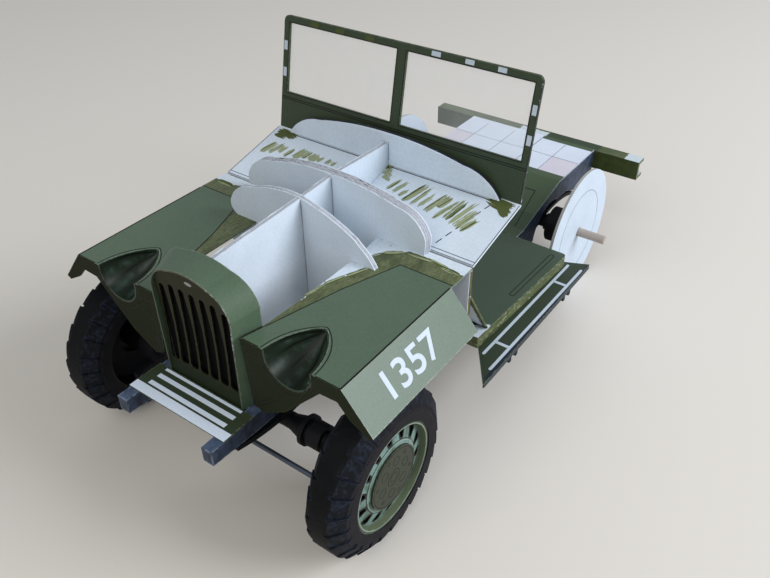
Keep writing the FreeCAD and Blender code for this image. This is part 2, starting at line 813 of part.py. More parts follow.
def floor_box():
    """The closed box under the cab floor, a little wider towards the rear."""
    body = new_body("floor_box")
    sketch = new_sketch(body, "XY", "floor_top - floor_depth")
    outline(sketch, both_sides([
        ("floor_half_front", "floor_front"),
        ("floor_half_rear", "floor_rear - 1"),
        ("floor_half_rear - 0.3", "floor_rear - 0.3", "arc"),
        ("floor_half_rear - 1", "floor_rear"),
    ]))
    pad(body, sketch, "floor_depth")
    place(body)
    return body


keep(floor_box())

keep(side_profile("rear_cover", band([
    ("floor_rear + gap", "floor_top"),
    ("arch_start", "floor_top"),
    ("arch_start + 7.4", "arch_top - 2.6 + paper", "arc"),
    ("arch_crown", "arch_top + paper"),
    ("beam_front - gap", "arch_top + paper"),
], "paper"), "rail_outer_rear"))


def running_board(label):
    """A step sheet with an oblique front end and a turned-down outer edge."""
    body = new_body(label)
    tread = new_sketch(body, "XY", "step_top - paper")
    outline(tread, [
        ("step_outer", "step_front"),
        ("step_outer", "wheelbase - step_rear"),
        ("step_inner", "wheelbase - step_rear - 3.1"),
        ("step_inner", "step_front + 10"),
    ])
    pad(body, tread, "paper")
    lip = new_sketch(body, "XY", "step_top - step_lip")
    outline(lip, rectangle("step_outer - paper", "step_front + 0.5",
                           "step_outer", "wheelbase - step_rear"))
    pad(body, lip, "step_lip - paper / 2")
    place(body)
    return body


keep_pair(running_board, "running_board")

STEP_BRACKETS = ["step_front + 10.8", "wheelbase - step_rear - 11.4"]


def step_bracket(label, y):
    """A flat bar from the rail out under the step, and a plate with two hooked teeth."""
    under = "step_top - paper"
    bar = box(label + "_bar",
              ("rail_outer_rear", f"{y} + 1.4", f"{under} - 0.8"),
              ("step_outer - 0.8", f"{y} + 3.4", under))
    plate = new_body(label + "_teeth")
    sketch = new_sketch(plate, "YZ", "step_outer - 1.4")
    tips = f"{under} - bracket_drop"
    outline(sketch, [
        (y, under),
        (f"{y} + bracket_length * 0.24", tips),
        (f"{y} + bracket_length * 0.4", tips),
        (f"{y} + bracket_length * 0.42", f"{under} - bracket_drop * 0.45"),
        (f"{y} + bracket_length * 0.56", f"{under} - bracket_drop * 0.45"),
        (f"{y} + bracket_length * 0.76", tips),
        (f"{y} + bracket_length * 0.92", tips),
        (f"{y} + bracket_length", under),
    ])
    pad(plate, sketch, "0.6")
    return [bar, plate]


brackets = [piece for i, y in enumerate(STEP_BRACKETS)
            for piece in step_bracket(f"step_bracket_{i}", y)]
keep(fused("step_brackets", brackets + [mirror(b.Label + "_right", b) for b in brackets]))

# rear beam, a channel open to the back
keep(side_profile("rear_beam", [
    ("beam_front", "arch_top"),
    ("beam_front + beam_depth", "arch_top"),
    ("beam_front + beam_depth", "arch_top - 0.8"),
    ("beam_front + 0.9", "arch_top - 0.8"),
    ("beam_front + 0.9", "arch_top - beam_height + 0.8"),
    ("beam_front + beam_depth", "arch_top - beam_height + 0.8"),
    ("beam_front + beam_depth", "arch_top - beam_height"),
    ("beam_front", "arch_top - beam_height"),
], "beam_half"))

# ---------------------------------------------------------------------------
# Axles, springs and wheels
# ---------------------------------------------------------------------------


def turned(label, points, y):
    """A piece turned about the axle line at y: outline (x, distance from the axis)."""
    body = new_body(label)
    sketch = new_sketch(body, "XY")
    outline(sketch, points)
    made = feature(body, "Revolution", sketch)
    made.ReferenceAxis = (sketch, ["H_Axis"])
    made.Angle = 360
    place(body, y, "tyre_radius")
    return body


keep(turned("front_axle", both_sides([
    ("knuckle_in", "0"),
    ("knuckle_in", "tube_radius"),
    ("collar_x + 4.2", "tube_radius"),
    ("collar_x + 4.2", "collar_radius * 0.86"),
    ("collar_x + 1.5", "collar_radius * 0.86"),
    ("collar_x + 1.5", "collar_radius * 0.72"),
    ("collar_x + 0.8", "collar_radius * 0.72"),
    ("collar_x + 0.8", "collar_radius"),
    ("collar_x", "collar_radius"),
    ("collar_x", "collar_radius * 0.8"),
    ("rail_outer_front + 0.4", "tube_radius"),
    ("5.6", "tube_radius"),
    ("3.2", "housing_radius * 0.82", "arc"),
    ("0", "housing_radius"),
]), "0"))


def steering_knuckle(label):
    """Knuckle, stub axle and the arm that reaches forward to the tie rod."""
    body = turned(label, [
        ("knuckle_in + gap / 2", "0"),
        ("knuckle_in + gap / 2", "tube_radius * 2"),
        ("tyre_inner + 0.6", "tube_radius * 2"),
        ("tyre_inner + 0.6", "stub_radius"),
        ("tyre_outer - 1.4", "stub_radius"),
        ("tyre_outer - 1.4", "0"),
    ], "0")
    arm = new_sketch(body, "YZ", "knuckle_in + gap / 2")
    outline(arm, rectangle("-rod_ahead - 2 * rod_radius", "-rod_below - 0.8",
                           "-tube_radius", "-rod_below + 0.8"))
    pad(body, arm, "board")
    return body


keep_pair(steering_knuckle, "steering_knuckle")


keep(turned("rear_axle", both_sides([
    ("rear_end", "peg_radius + gap / 2"),
    ("rear_end", "drum_radius"),
    ("rear_end - drum_length", "drum_radius"),
    ("rear_end - drum_length", "neck_radius"),
    ("rail_outer_rear + gap", "neck_radius"),
    ("rail_outer_rear + gap", "tube_radius"),
    ("5.6", "tube_radius"),
    ("3.2", "housing_radius * 0.82", "arc"),
    ("0", "housing_radius"),
]), "wheelbase"))

peg = turned("wooden_peg", rectangle("-peg_half", "0", "peg_half", "peg_radius"), "wheelbase")
keep(peg)


def leaf_springs(label, y, top, front_end, rear_end, center_x):
    """A pair of bowed leaf packs, one under each rail; each end is (reach, height)."""
    body = new_body(label + "_pack")
    sketch = new_sketch(body, "YZ", center_x)
    outline(sketch, band([
        (f"{y} - {front_end[0]}", front_end[1]),
        (y, top, "arc"),
        (f"{y} + {rear_end[0]}", rear_end[1]),
    ], "leaf"))
    pad(body, sketch, "rail_width * 0.8", both_ways=True)
    return fused(label, [body, mirror(label + "_pack_right", body)])


keep(leaf_springs("front_springs", "0", "tyre_radius + tube_radius + leaf + gap",
                  ("12.5", "frame_under"), ("12.5", "frame_under"),
                  "rail_outer_front - rail_width / 2"))
keep(leaf_springs("rear_springs", "wheelbase", "tyre_radius + tube_radius + leaf + gap",
                  ("4.4", "tyre_radius + 1.3"),
                  ("14.5", "arch_top - tail_depth + 0.7"),
                  "rail_outer_rear - rail_width / 2"))


def tie_rod():
    """A straight wire between the two steering arms."""
    made = doc.addObject("Part::Cylinder", "tie_rod")
    made.Label = "tie_rod"
    made.setExpression("Radius", bound("rod_radius"))
    made.setExpression("Height", bound("2 * knuckle_in"))
    made.Placement.Rotation = FreeCAD.Rotation(FreeCAD.Vector(0, 1, 0), 90)
    made.setExpression("Placement.Base.x", bound("-knuckle_in"))
    place(made, "-rod_ahead", "tyre_radius - rod_below")
    return made


keep(tie_rod())


def tyre(label):
    """A stack of card rings, with a flat tread between two bevelled shoulders."""
    return turned(label, [
        ("tyre_inner", "rim_radius"),
        ("tyre_inner", "tyre_radius - bevel_drop"),
        ("tyre_inner + bevel_width", "tyre_radius"),
        ("tyre_outer - bevel_width", "tyre_radius"),
        ("tyre_outer", "tyre_radius - bevel_drop"),
        ("tyre_outer", "rim_radius"),
    ], "0")


HOLE_COUNT = 14


def wheel(label):
    """Rim, coned face and bearing sleeve, with a ring of drop-shaped holes in the face."""
    body = turned(label, [
        ("tyre_inner + 0.8", "bore"),
        ("tyre_inner + 0.8", "bore + 1.4"),
        ("wheel_face - 0.8", "bore + 1.4"),
        ("wheel_face - 0.8", "hub_radius"),
        ("wheel_face - face_fall - 0.8", "rim_radius - 0.5"),
        ("tyre_inner + 0.2", "rim_radius - 0.5"),
        ("tyre_inner + 0.2", "rim_radius"),
        ("tyre_outer - 0.2", "rim_radius"),
        ("tyre_outer - 0.2", "rim_radius - 0.6"),
        ("wheel_face - face_fall", "rim_radius - 0.9"),
        ("wheel_face", "hub_radius"),
        ("wheel_face", "bore"),
    ], "0")
    sketch = new_sketch(body, "YZ", "wheel_face + 1")
    outline(sketch, [
        ("-0.72", "rim_radius - 1.45"),
        ("0", "rim_radius - 1.1", "arc"),
        ("0.72", "rim_radius - 1.45"),
        ("0.26", "rim_radius - 3.2"),
        ("-0.26", "rim_radius - 3.2"),
    ])
    hole = pocket(body, sketch, "3.2")
    ring = body.newObject("PartDesign::PolarPattern", label + "_ring")
    ring.Originals = [hole]
    ring.Axis = ([f for f in body.Origin.OriginFeatures if f.Role == "X_Axis"][0], [""])
    ring.Angle = 360
    ring.Occurrences = HOLE_COUNT
    body.Tip = ring
    return body


def hub_disc(label):
    """The plain disc glued on the middle of the wheel face."""
    return turned(label, rectangle("wheel_face", "0", "wheel_face + 0.4", "hub_radius"), "0")


def rear_disc(label):
    """The first, still bare ring of a rear wheel, turning on the peg."""
    return turned(label, rectangle("disc_outer - disc_thick", "peg_radius + running_gap",
                                   "disc_outer", "tyre_radius"), "wheelbase")


for make in (tyre, wheel, hub_disc, rear_disc):
    keep_pair(make, make.__name__)

# ---------------------------------------------------------------------------
# Build, check and write
# ---------------------------------------------------------------------------
doc.recompute()
failed = [thing.Label for thing in doc.Objects
          if "Invalid" in thing.State or "Error" in thing.State]
failed += [thing.Label for thing in PARTS
           if thing.Shape.isNull() or not thing.Shape.isValid()]
if failed:
    raise SystemExit("failed objects: " + ", ".join(failed))
os.makedirs("parts", exist_ok=True)
for thing in PARTS:
    thing.Shape.exportStep(f"parts/{thing.Label}.step")
print(len(PARTS), "sub-parts written")
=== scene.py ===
"""Looks of a half-built card model of a small open army car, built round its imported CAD.

Lengths are in millimetres, measured from the ground under the middle of the front axle:
x is the car's left, y runs back along the car and z is the height.
"""
import math
import random

import bmesh
import bpy
from mathutils import Matrix, Vector, noise


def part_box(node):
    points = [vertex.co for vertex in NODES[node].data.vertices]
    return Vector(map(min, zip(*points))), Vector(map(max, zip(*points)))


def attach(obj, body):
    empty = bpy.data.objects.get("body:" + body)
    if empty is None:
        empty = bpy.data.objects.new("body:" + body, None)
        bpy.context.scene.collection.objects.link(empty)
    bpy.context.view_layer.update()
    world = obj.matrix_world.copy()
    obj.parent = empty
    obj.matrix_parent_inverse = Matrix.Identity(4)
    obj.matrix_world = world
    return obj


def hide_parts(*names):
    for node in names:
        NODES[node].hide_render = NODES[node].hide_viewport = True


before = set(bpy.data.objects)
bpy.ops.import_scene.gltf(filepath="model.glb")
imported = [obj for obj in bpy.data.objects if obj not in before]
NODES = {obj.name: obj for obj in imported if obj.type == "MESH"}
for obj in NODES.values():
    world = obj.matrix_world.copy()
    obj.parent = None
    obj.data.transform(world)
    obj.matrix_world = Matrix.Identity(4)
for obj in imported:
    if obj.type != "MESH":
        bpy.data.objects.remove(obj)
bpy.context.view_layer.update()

MM = 0.001
CHASSIS = "chassis"
AXLE_Y = sum(corner.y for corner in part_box("tyre_left")) / 2 / MM     # front axle in the frame, mm


def span(node, axis):
    """The low and high side of a CAD node along x, y or z (0, 1 or 2), in millimetres."""
    return [corner[axis] / MM - (AXLE_Y if axis == 1 else 0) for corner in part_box(node)]


def middle(node, axis):
    return sum(span(node, axis)) / 2


AXLE_Z = middle("tyre_left", 2)
REAR_Y = middle("rear_disc_left", 1)              # rear axle behind the front axle
WING_TOP = span("wing_left", 2)[1]
SCOOP_X = middle("lamp_scoop_left", 0)


def at(x, y, z):
    """A point of the frame, in metres, from millimetres behind the front axle."""
    return Vector((x, y + AXLE_Y, z)) * MM


# ---------------------------------------------------------------------------
# Colours and nodes
# ---------------------------------------------------------------------------
def rgb(hex_colour):
    """sRGB hex to the linear colour that Blender's sockets take."""
    parts = [int(hex_colour[i:i + 2], 16) / 255 for i in (1, 3, 5)]
    return [c / 12.92 if c <= 0.04045 else ((c + 0.055) / 1.055) ** 2.4 for c in parts] + [1.0]


def add(tree, kind, links=None, **settings):
    """Add one node. Links give its inputs by name or number: a value, a socket, or a
    node, whose first output in use is taken."""
    made = tree.nodes.new("ShaderNode" + kind)
    for name, value in settings.items():
        setattr(made, name, value)
    for key, value in (links or {}).items():
        if isinstance(key, str):
            socket = next(s for s in made.inputs if s.name == key and s.enabled)
        else:
            socket = made.inputs[key]
        if isinstance(value, bpy.types.Node):
            value = next(s for s in value.outputs if s.enabled)
        if isinstance(value, bpy.types.NodeSocket):
            tree.links.new(value, socket)
        elif isinstance(value, str):
            socket.default_value = rgb(value)
        else:
            socket.default_value = value
    return made


def new_material(name, build):
    """A node material; build(tree) returns its shader node."""
    made = bpy.data.materials.new(name)
    made.use_nodes = True
    made.node_tree.nodes.clear()
    shader = build(made.node_tree)
    add(made.node_tree, "OutputMaterial", {"Surface": shader})
    return made


def place_mm(tree):
    """Object coordinates in millimetres from the front axle."""
    where = add(tree, "TexCoord").outputs["Object"]
    return add(tree, "VectorMath", {0: where, 1: (1000, 1000, 1000), 2: (0, -AXLE_Y, 0)},
               operation="MULTIPLY_ADD")


AXES = {"x": 0, "y": 1, "z": 2}


def inside(tree, point, plane, corners, soft=0.06, rag=None):
    """1 inside a convex outline, 0 outside. Corners run anticlockwise in the plane's two
    letters; rag is a node whose value, in mm, pushes the outline in and out."""
    least = None
    for (u0, v0), (u1, v1) in zip(corners, corners[1:] + corners[:1]):
        length = math.hypot(u1 - u0, v1 - v0)
        across = [0.0, 0.0, 0.0]
        across[AXES[plane[0]]] = -(v1 - v0) / length
        across[AXES[plane[1]]] = (u1 - u0) / length
        start = across[AXES[plane[0]]] * u0 + across[AXES[plane[1]]] * v0
        reach = add(tree, "VectorMath", {0: point, 1: across}, operation="DOT_PRODUCT").outputs["Value"]
        depth = add(tree, "Math", {0: reach, 1: start}, operation="SUBTRACT")
        least = depth if least is None else add(tree, "Math", {0: least, 1: depth}, operation="MINIMUM")
    if rag is not None:
        least = add(tree, "Math", {0: least, 1: rag}, operation="ADD")
    return add(tree, "Math", {0: least, 1: 1 / soft, 2: 0.5}, operation="MULTIPLY_ADD", use_clamp=True)


def any_of(tree, *masks):
    """1 where any mask is 1."""
    made = masks[0]
    for mask in masks[1:]:
        made = add(tree, "Math", {0: made, 1: mask}, operation="MAXIMUM")
    return made


def all_of(tree, *masks):
    """1 where every mask is 1."""
    made = masks[0]
    for mask in masks[1:]:
        made = add(tree, "Math", {0: made, 1: mask}, operation="MULTIPLY", use_clamp=True)
    return made


def oblong(left, low, right, high):
    """The corners of an upright rectangle."""
    return [(left, low), (right, low), (right, high), (left, high)]


def patches(tree, point, plane, outlines, soft, rag=None):
    """1 inside any of several convex outlines."""
    return any_of(tree, *(inside(tree, point, plane, corners, soft, rag) for corners in outlines))


def coats(tree, colour, *over):
    """A colour with others laid over it in turn, each given as (mask, colour)."""
    for mask, coat in over:
        colour = add(tree, "Mix", {"Factor": mask, "A": colour, "B": coat}, data_type="RGBA")
    return colour


def wavy(tree, point, size, reach, stretch=(1, 1, 1), detail=3.0):
    """A noise value from -reach to reach, of features about size mm."""
    held = add(tree, "VectorMath", {0: point, 1: [s / size for s in stretch]}, operation="MULTIPLY")
    cloud = add(tree, "TexNoise", {"Vector": held, "Scale": 1.0, "Detail": detail, "Roughness": 0.6})
    return add(tree, "Math", {0: cloud, 1: 2 * reach * 1.6, 2: -reach * 1.6}, operation="MULTIPLY_ADD")


def flecks(tree, point, size, least, stretch=(1, 1, 1), detail=3.0):
    """1 in specks of about size mm, which grow fewer as least nears 1."""
    cloud = wavy(tree, point, size, 1.0, stretch, detail)
    return add(tree, "Math", {0: cloud, 1: least}, operation="GREATER_THAN")


def edge_mask(tree, radius, grain=0.6):
    """1 along rounded-over corners, broken up by noise: where a sharp edge has worn."""
    rounded = add(tree, "Bevel", {"Radius": radius * MM}, samples=4)
    straight = add(tree, "NewGeometry").outputs["True Normal"]
    same = add(tree, "VectorMath", {0: rounded, 1: straight}, operation="DOT_PRODUCT").outputs["Value"]
    worn = add(tree, "MapRange", {"Value": same, "From Min": 0.985, "From Max": 0.9})
    patchy = add(tree, "TexNoise", {"Vector": place_mm(tree), "Scale": 1 / grain, "Detail": 3.0})
    patchy = add(tree, "MapRange", {"Value": patchy, "From Min": 0.42, "From Max": 0.6})
    return add(tree, "Math", {0: worn, 1: patchy}, operation="MULTIPLY", use_clamp=True)


def stained(tree, point, colour, depth, size):
    """A colour made lighter and darker by a cloud of the given size."""
    cloud = add(tree, "TexNoise", {"Vector": point, "Scale": 1 / size, "Detail": 4.0})
    light = add(tree, "MapRange", {"Value": cloud, "From Min": 0.3, "From Max": 0.7,
                                   "To Min": 1 - depth, "To Max": 1 + depth})
    return add(tree, "Mix", {"Factor": 1.0, "A": colour, "B": light}, data_type="RGBA",
               blend_type="MULTIPLY")


def card_skin(tree, point, colour, roughness, fibre=0.25, height=0.012, specular=0.3, mottle=0.055):
    """Paper or card: a fine fibre relief, slight print mottle and a soft sheen."""
    tone = stained(tree, point, colour, mottle, fibre)
    tone = stained(tree, point, tone, 0.035, 5.0)
    relief = add(tree, "TexNoise", {"Vector": point, "Scale": 1 / (fibre * 1.6), "Detail": 5.0})
    bump = add(tree, "Bump", {"Height": relief, "Strength": 1.0, "Distance": height * MM})
    return add(tree, "BsdfPrincipled", {"Base Color": tone, "Roughness": roughness, "Normal": bump,
                                        "Specular IOR Level": specular})


# Finishes: laser-printed and brush-painted card, bare card, board, wire, stick, film
GREEN = "#4E614D"          # printed field green
GREEN_DARK = "#36422F"     # printed green of the body sheets
GREEN_FRONT_SHADE = "#191C0F"    # the printed green darkened on faces turned forward: painted shade
OLIVE = "#4C562C"          # brushed-on retouching paint
OLIVE_THIN = "#939B79"     # the same paint thinned over white
WHITE = "#CDD8E2"          # coated white card, cold
INK = "#0C0E0A"            # printer's black
BLACK = "#0C0D11"          # brushed black acrylic
WORN = "#93998A"           # paper showing where a printed edge has rubbed


def facing(tree, axis, least):
    """1 on faces whose normal's part along an axis is above least (below, where negative)."""
    along = add(tree, "SeparateXYZ", {0: add(tree, "TexCoord").outputs["Normal"]}).outputs[axis]
    kind = "GREATER_THAN" if least > 0 else "LESS_THAN"
    return add(tree, "Math", {0: along, 1: least}, operation=kind)


def sideways(tree, least):
    """1 on faces turned to either side of the car."""
    return any_of(tree, facing(tree, "X", least), facing(tree, "X", -least))


def folded_at_middle(tree, point):
    """The point with x made positive, for what is alike on both sides of the car."""
    split = add(tree, "SeparateXYZ", {0: point})
    width = add(tree, "Math", {0: split.outputs["X"]}, operation="ABSOLUTE")
    return add(tree, "CombineXYZ", {0: width, 1: split.outputs["Y"], 2: split.outputs["Z"]})


def off_axle(tree, point):
    """How far a point lies from the front axle's line, in mm."""
    split = add(tree, "SeparateXYZ", {0: point})
    rise = add(tree, "Math", {0: split.outputs["Z"], 1: AXLE_Z}, operation="SUBTRACT")
    spoke = add(tree, "CombineXYZ", {1: split.outputs["Y"], 2: rise})
    return add(tree, "VectorMath", {0: spoke}, operation="LENGTH").outputs["Value"]


def brush_tone(tree, point, along=(1, 1, 1)):
    """Olive acrylic put on with a 2 mm brush: bristle streaks about 0.5 mm apart, from a
    full coat to a starved one."""
    held = add(tree, "VectorMath", {0: point, 1: along}, operation="MULTIPLY")
    streak = add(tree, "TexNoise", {"Vector": held, "Scale": 1 / 0.5, "Detail": 5.0, "Roughness": 0.65})
    streak = add(tree, "MapRange", {"Value": streak, "From Min": 0.34, "From Max": 0.7})
    pool = add(tree, "TexNoise", {"Vector": held, "Scale": 1 / 2.5, "Detail": 2.0})
    pool = add(tree, "MapRange", {"Value": pool, "From Min": 0.5, "From Max": 0.66, "To Max": 0.7})
    return coats(tree, "#434B27", (streak, "#6C7450"), (pool, "#38401E"))


def green_card(tree):
    """Laser-printed card, smooth and slightly glossy from the toner, pale on rubbed edges."""
    point = place_mm(tree)
    return card_skin(tree, point, coats(tree, GREEN, (edge_mask(tree, 0.3), WORN)), 0.42)


# Edge of the printed area on the wings, from the radiator back to the cowl's corner
WING_LINE = [(10.9, -3.5), (14.6, 10.7), (18.5, 21.8), (28.9, 21.8)]
# Where the wings are retouched by hand, on both sides of the car
RETOUCHED = [
    [(0, -12), (8.7, -12), (14.6, 10.7), (14.6, 40), (0, 40)],
    [(14.5, 10.4), (18.5, 21.8), (18.5, 40), (14.5, 40)],
    oblong(18, 21.8, 40, 40),
]
# Where the brush left the wings white
BARE_WING = [
    [(9, 4), (10.9, 4), (11.45, 10.8), (9, 10.8)],
    [(9, 10.6), (11.4, 10.6), (14.9, 18.9), (14.9, 19.6), (9, 19.6)],
    [(9, 19.5), (12.5, 19.5), (13.9, 23.4), (13.9, 30), (9, 30)],
    [(13.8, 23.3), (17.8, 25.9), (17.8, 30), (13.8, 30)],
    [(17.6, 25.9), (29.5, 25.2), (29.5, 30), (17.6, 30)],
    [(-28.8, 25.4), (-24, 25.2), (-20.6, 27.1), (-22.8, 28.9), (-29.5, 28.9)],
]


def wing_card(tree):
    """Printed green, retouched by hand inside the printed edge, and bare white where the
    brush stopped: along the bonnet opening and before the cowl."""
    point = place_mm(tree)
    top = facing(tree, "Z", 0.8)
    retouched = patches(tree, folded_at_middle(tree, point), "xy", RETOUCHED, 0.05)
    rag = wavy(tree, point, 0.9, 0.55, (0.5, 1, 1), 5.0)
    bare = patches(tree, point, "xy", BARE_WING, 0.1, rag)
    dabs = flecks(tree, point, 0.7, 0.85, (1, 0.5, 1), 4.0)
    colour = coats(tree, GREEN,
                   (edge_mask(tree, 0.3), WORN),
                   (all_of(tree, retouched, top), brush_tone(tree, point, (1.6, 0.5, 1))),
                   (all_of(tree, bare, retouched, top), WHITE),
                   (all_of(tree, dabs, bare, retouched, top), OLIVE_THIN),
                   (facing(tree, "Z", -0.3), "#1E2016"),
                   # faces turned forward take the printed green darkened: painted shade
                   (facing(tree, "Y", -0.9), GREEN_FRONT_SHADE))
    return card_skin(tree, point, colour, 0.38, specular=0.45, mottle=0.12)


def scoop_card(tree):
    """Card pressed into a leaf-shaped nest: the creases from its tip between the pressed
    petals are near-black towards the back as painted shade, and blue-green paint is rubbed thinly over the
    rest."""
    point = place_mm(tree)
    split = add(tree, "SeparateXYZ", {0: folded_at_middle(tree, point)})
    across = add(tree, "Math", {0: split.outputs["X"], 1: SCOOP_X}, operation="SUBTRACT")
    down = add(tree, "Math", {0: WING_TOP - 0.7, 1: split.outputs["Z"]}, operation="SUBTRACT")
    turn = add(tree, "Math", {0: down, 1: across}, operation="ARCTAN2")
    wander = add(tree, "TexNoise", {"Vector": point, "Scale": 1 / 3.5, "Detail": 1.0})
    turn = add(tree, "Math", {0: wander, 1: 0.2, 2: turn}, operation="MULTIPLY_ADD")
    petal = add(tree, "Math", {0: turn, 1: 0.36}, operation="PINGPONG")
    crease_shade = add(tree, "MapRange", {"Value": petal, "From Min": 0.015, "From Max": 0.07,
                                    "To Min": 1.0, "To Max": 0.0})
    crown = add(tree, "MapRange", {"Value": petal, "From Min": 0.1, "From Max": 0.34})
    back = add(tree, "MapRange", {"Value": split.outputs["Y"], "From Min": -6.4, "From Max": -3.0})
    rubbed = add(tree, "TexNoise", {"Vector": point, "Scale": 1 / 2.2, "Detail": 3.0})
    rubbed = add(tree, "MapRange", {"Value": rubbed, "From Min": 0.4, "From Max": 0.68, "To Max": 0.8})
    colour = coats(tree, "#1C251B", (all_of(tree, crown, rubbed), "#3F5248"),
                   # near-black creases towards the back: painted shade
                   (all_of(tree, crease_shade, back), "#0A0D08"), (facing(tree, "Y", -0.9), "#36423A"))
    return card_skin(tree, point, colour, 0.36, height=0.02, specular=0.2)


def shell_card(tree):
    """Printed green; the front rim is the paper's own cut edge, frayed white on one side."""
    point = place_mm(tree)
    fray = flecks(tree, point, 0.8, 0.1)
    side = inside(tree, point, "xz", oblong(4.2, 34, 12, 50), 1.5)
    rim = facing(tree, "Y", -0.8)
    colour = coats(tree, GREEN, (edge_mask(tree, 0.25), WORN), (rim, "#4A4E3C"),
                   (all_of(tree, fray, side, rim), "#8F9A96"))
    return card_skin(tree, point, colour, 0.4, specular=0.38, mottle=0.12)


def front_card(tree):
    """The grille sheet: the print darkened to brown-green as painted shade on this forward face, greener
    at its foot, with chipped slot edges; its sideways faces, the slot walls among them, are near-black as
    painted shade.
    """
    point = place_mm(tree)
    height = add(tree, "SeparateXYZ", {0: point}).outputs["Z"]
    foot = add(tree, "MapRange", {"Value": height, "From Min": 27.0, "From Max": 24.5})
    chips = flecks(tree, point, 0.45, 0.45)
    low = all_of(tree, add(tree, "MapRange", {"Value": height, "From Min": 26.6, "From Max": 26.0}),
                 add(tree, "Math", {0: height, 1: 25.3}, operation="GREATER_THAN"))
    worn = edge_mask(tree, 0.18)
    # brown-green base: print darkened as painted shade; sideways faces near-black: painted shade in the
    # slots
    colour = coats(tree, "#262716", (foot, "#1F2816"), (sideways(tree, 0.5), "#0B0C08"),
                   (worn, "#41452C"), (all_of(tree, chips, low, worn), "#A8AE8A"))
    return card_skin(tree, point, colour, 0.5, specular=0.15)


def core_card(tree):
    """Black card seen through the slots."""
    return card_skin(tree, place_mm(tree), "#070708", 0.8, specular=0.08)


def skirt_shaded_print(tree):
    """The wings' front skirts: the printed green darkened to brown-green as painted shade on these forward
    faces, dull.
    """
    point = place_mm(tree)
    # brown-green base: the print darkened as painted shade on a forward face
    colour = coats(tree, "#24281A", (edge_mask(tree, 0.25), "#4A4F38"))
    return card_skin(tree, point, colour, 0.7, specular=0.08)


def dark_card(tree):
    """Printed dark green, rubbed along its cut edges."""
    point = place_mm(tree)
    return card_skin(tree, point, coats(tree, GREEN_DARK, (edge_mask(tree, 0.3), "#7C8468")), 0.48)


def screen_card(tree):
    """Dark green print; the outer edge on the car's left has rubbed to pale paper."""
    point = place_mm(tree)
    rub = wavy(tree, point, 0.7, 0.12, (1, 1, 0.5))
    side = inside(tree, point, "xz", oblong(28.32, 42, 30, 66), 0.08, rub)
    fleck = flecks(tree, point, 0.5, 0.42, (1, 1, 0.6), 4.0)
    colour = coats(tree, GREEN_DARK, (edge_mask(tree, 0.3), "#6C745C"), (side, "#232A26"),
                   (all_of(tree, side, fleck), "#97A3A6"))
    return card_skin(tree, point, colour, 0.48, mottle=0.12)


def floor_card(tree):
    """Dark green top, brushed olive sides, and a bare white corner by each toe board."""
    point = place_mm(tree)
    folded = folded_at_middle(tree, point)
    corner = [(23.3, 32), (30, 32), (30, 36.0), (28.0, 38.2), (26.2, 37.3)]
    bare = inside(tree, folded, "xy", corner, 0.08)
    scuff = flecks(tree, point, 0.6, 0.34, (1, 0.4, 1.6), 5.0)
    side = coats(tree, brush_tone(tree, point, (1, 0.3, 2.4)), (scuff, "#9BA184"))
    top = coats(tree, "#3F4D3E", (edge_mask(tree, 0.3), "#9AA08A"), (bare, WHITE))
    return card_skin(tree, point, coats(tree, side, (facing(tree, "Z", 0.8), top)), 0.46)


def rear_cover_card(tree):
    """Dark green with a white gridded glue area, a few of its cells faintly pink."""
    point = place_mm(tree)
    glued = [oblong(-17.6, 91.5, 17.6, 107.2), oblong(-17.6, 106, 3.8, 112)]
    tinted = [oblong(10.5, 91.5, 17.6, 99.4), oblong(-17.6, 91.5, -11.9, 99.4)]
    sheet = patches(tree, point, "xy", glued, 0.05)
    pink = patches(tree, point, "xy", tinted, 0.3)
    front = inside(tree, point, "xy", oblong(-20, 60, 20, 77), 0.05)
    paper = coats(tree, "#D3DCE8", (pink, "#D0CBD5"))
    colour = coats(tree, "#46563F", (front, "#3E4D3B"), (edge_mask(tree, 0.3), "#7C8468"),
                   (all_of(tree, sheet, facing(tree, "Z", 0.3)), paper),
                   (sideways(tree, 0.9), "#98A2A8"))
    return card_skin(tree, point, colour, 0.5)


def beam_card(tree):
    """Olive-brushed channel. Under the glue tab its top is still printed: white in the
    middle, dark green beside it, and its left end is bare."""
    point = place_mm(tree)
    rag = wavy(tree, point, 0.8, 0.5, (1, 1, 1), 4.0)
    bare = inside(tree, point, "xy", oblong(25.4, 100, 32, 120), 0.1, rag)
    white = inside(tree, point, "xy", oblong(-4, 108, 3.8, 111.6), 0.08, rag)
    green = inside(tree, point, "xy", oblong(3.8, 107, 18.3, 114), 0.08, rag)
    top = facing(tree, "Z", 0.8)
    tone = coats(tree, brush_tone(tree, point, (0.3, 1.5, 1.5)), (0.35, "#4A5640"),
                 # faces turned forward are a darker olive: painted shade
                 (facing(tree, "Y", -0.5), stained(tree, point, "#38431F", 0.3, 1.6)),
                 (all_of(tree, green, top), GREEN_DARK),
                 (all_of(tree, any_of(tree, bare, white), top), "#C3CFD3"))
    return card_skin(tree, point, tone, 0.5)


def step_card(tree):
    """Dark green tread plate; its turned-down edge is painted blue-black."""
    point = place_mm(tree)
    height = add(tree, "SeparateXYZ", {0: point}).outputs["Z"]
    low = add(tree, "Math", {0: height, 1: span("running_board_left", 2)[1] - 0.35}, operation="LESS_THAN")
    outer = [(33.28, 27), (36, 27), (36, 72), (33.87, 72)]
    rim = inside(tree, folded_at_middle(tree, point), "xy", outer, 0.1, wavy(tree, point, 1.2, 0.12))
    colour = coats(tree, "#2E3929", (rim, "#17222A"), (edge_mask(tree, 0.25), "#6A776F"), (low, "#1C2A30"))
    return card_skin(tree, point, colour, 0.45)


def bare_card(tree):
    """Coated white card: cold white, almost smooth."""
    return card_skin(tree, place_mm(tree), WHITE, 0.55, fibre=0.35, height=0.008)


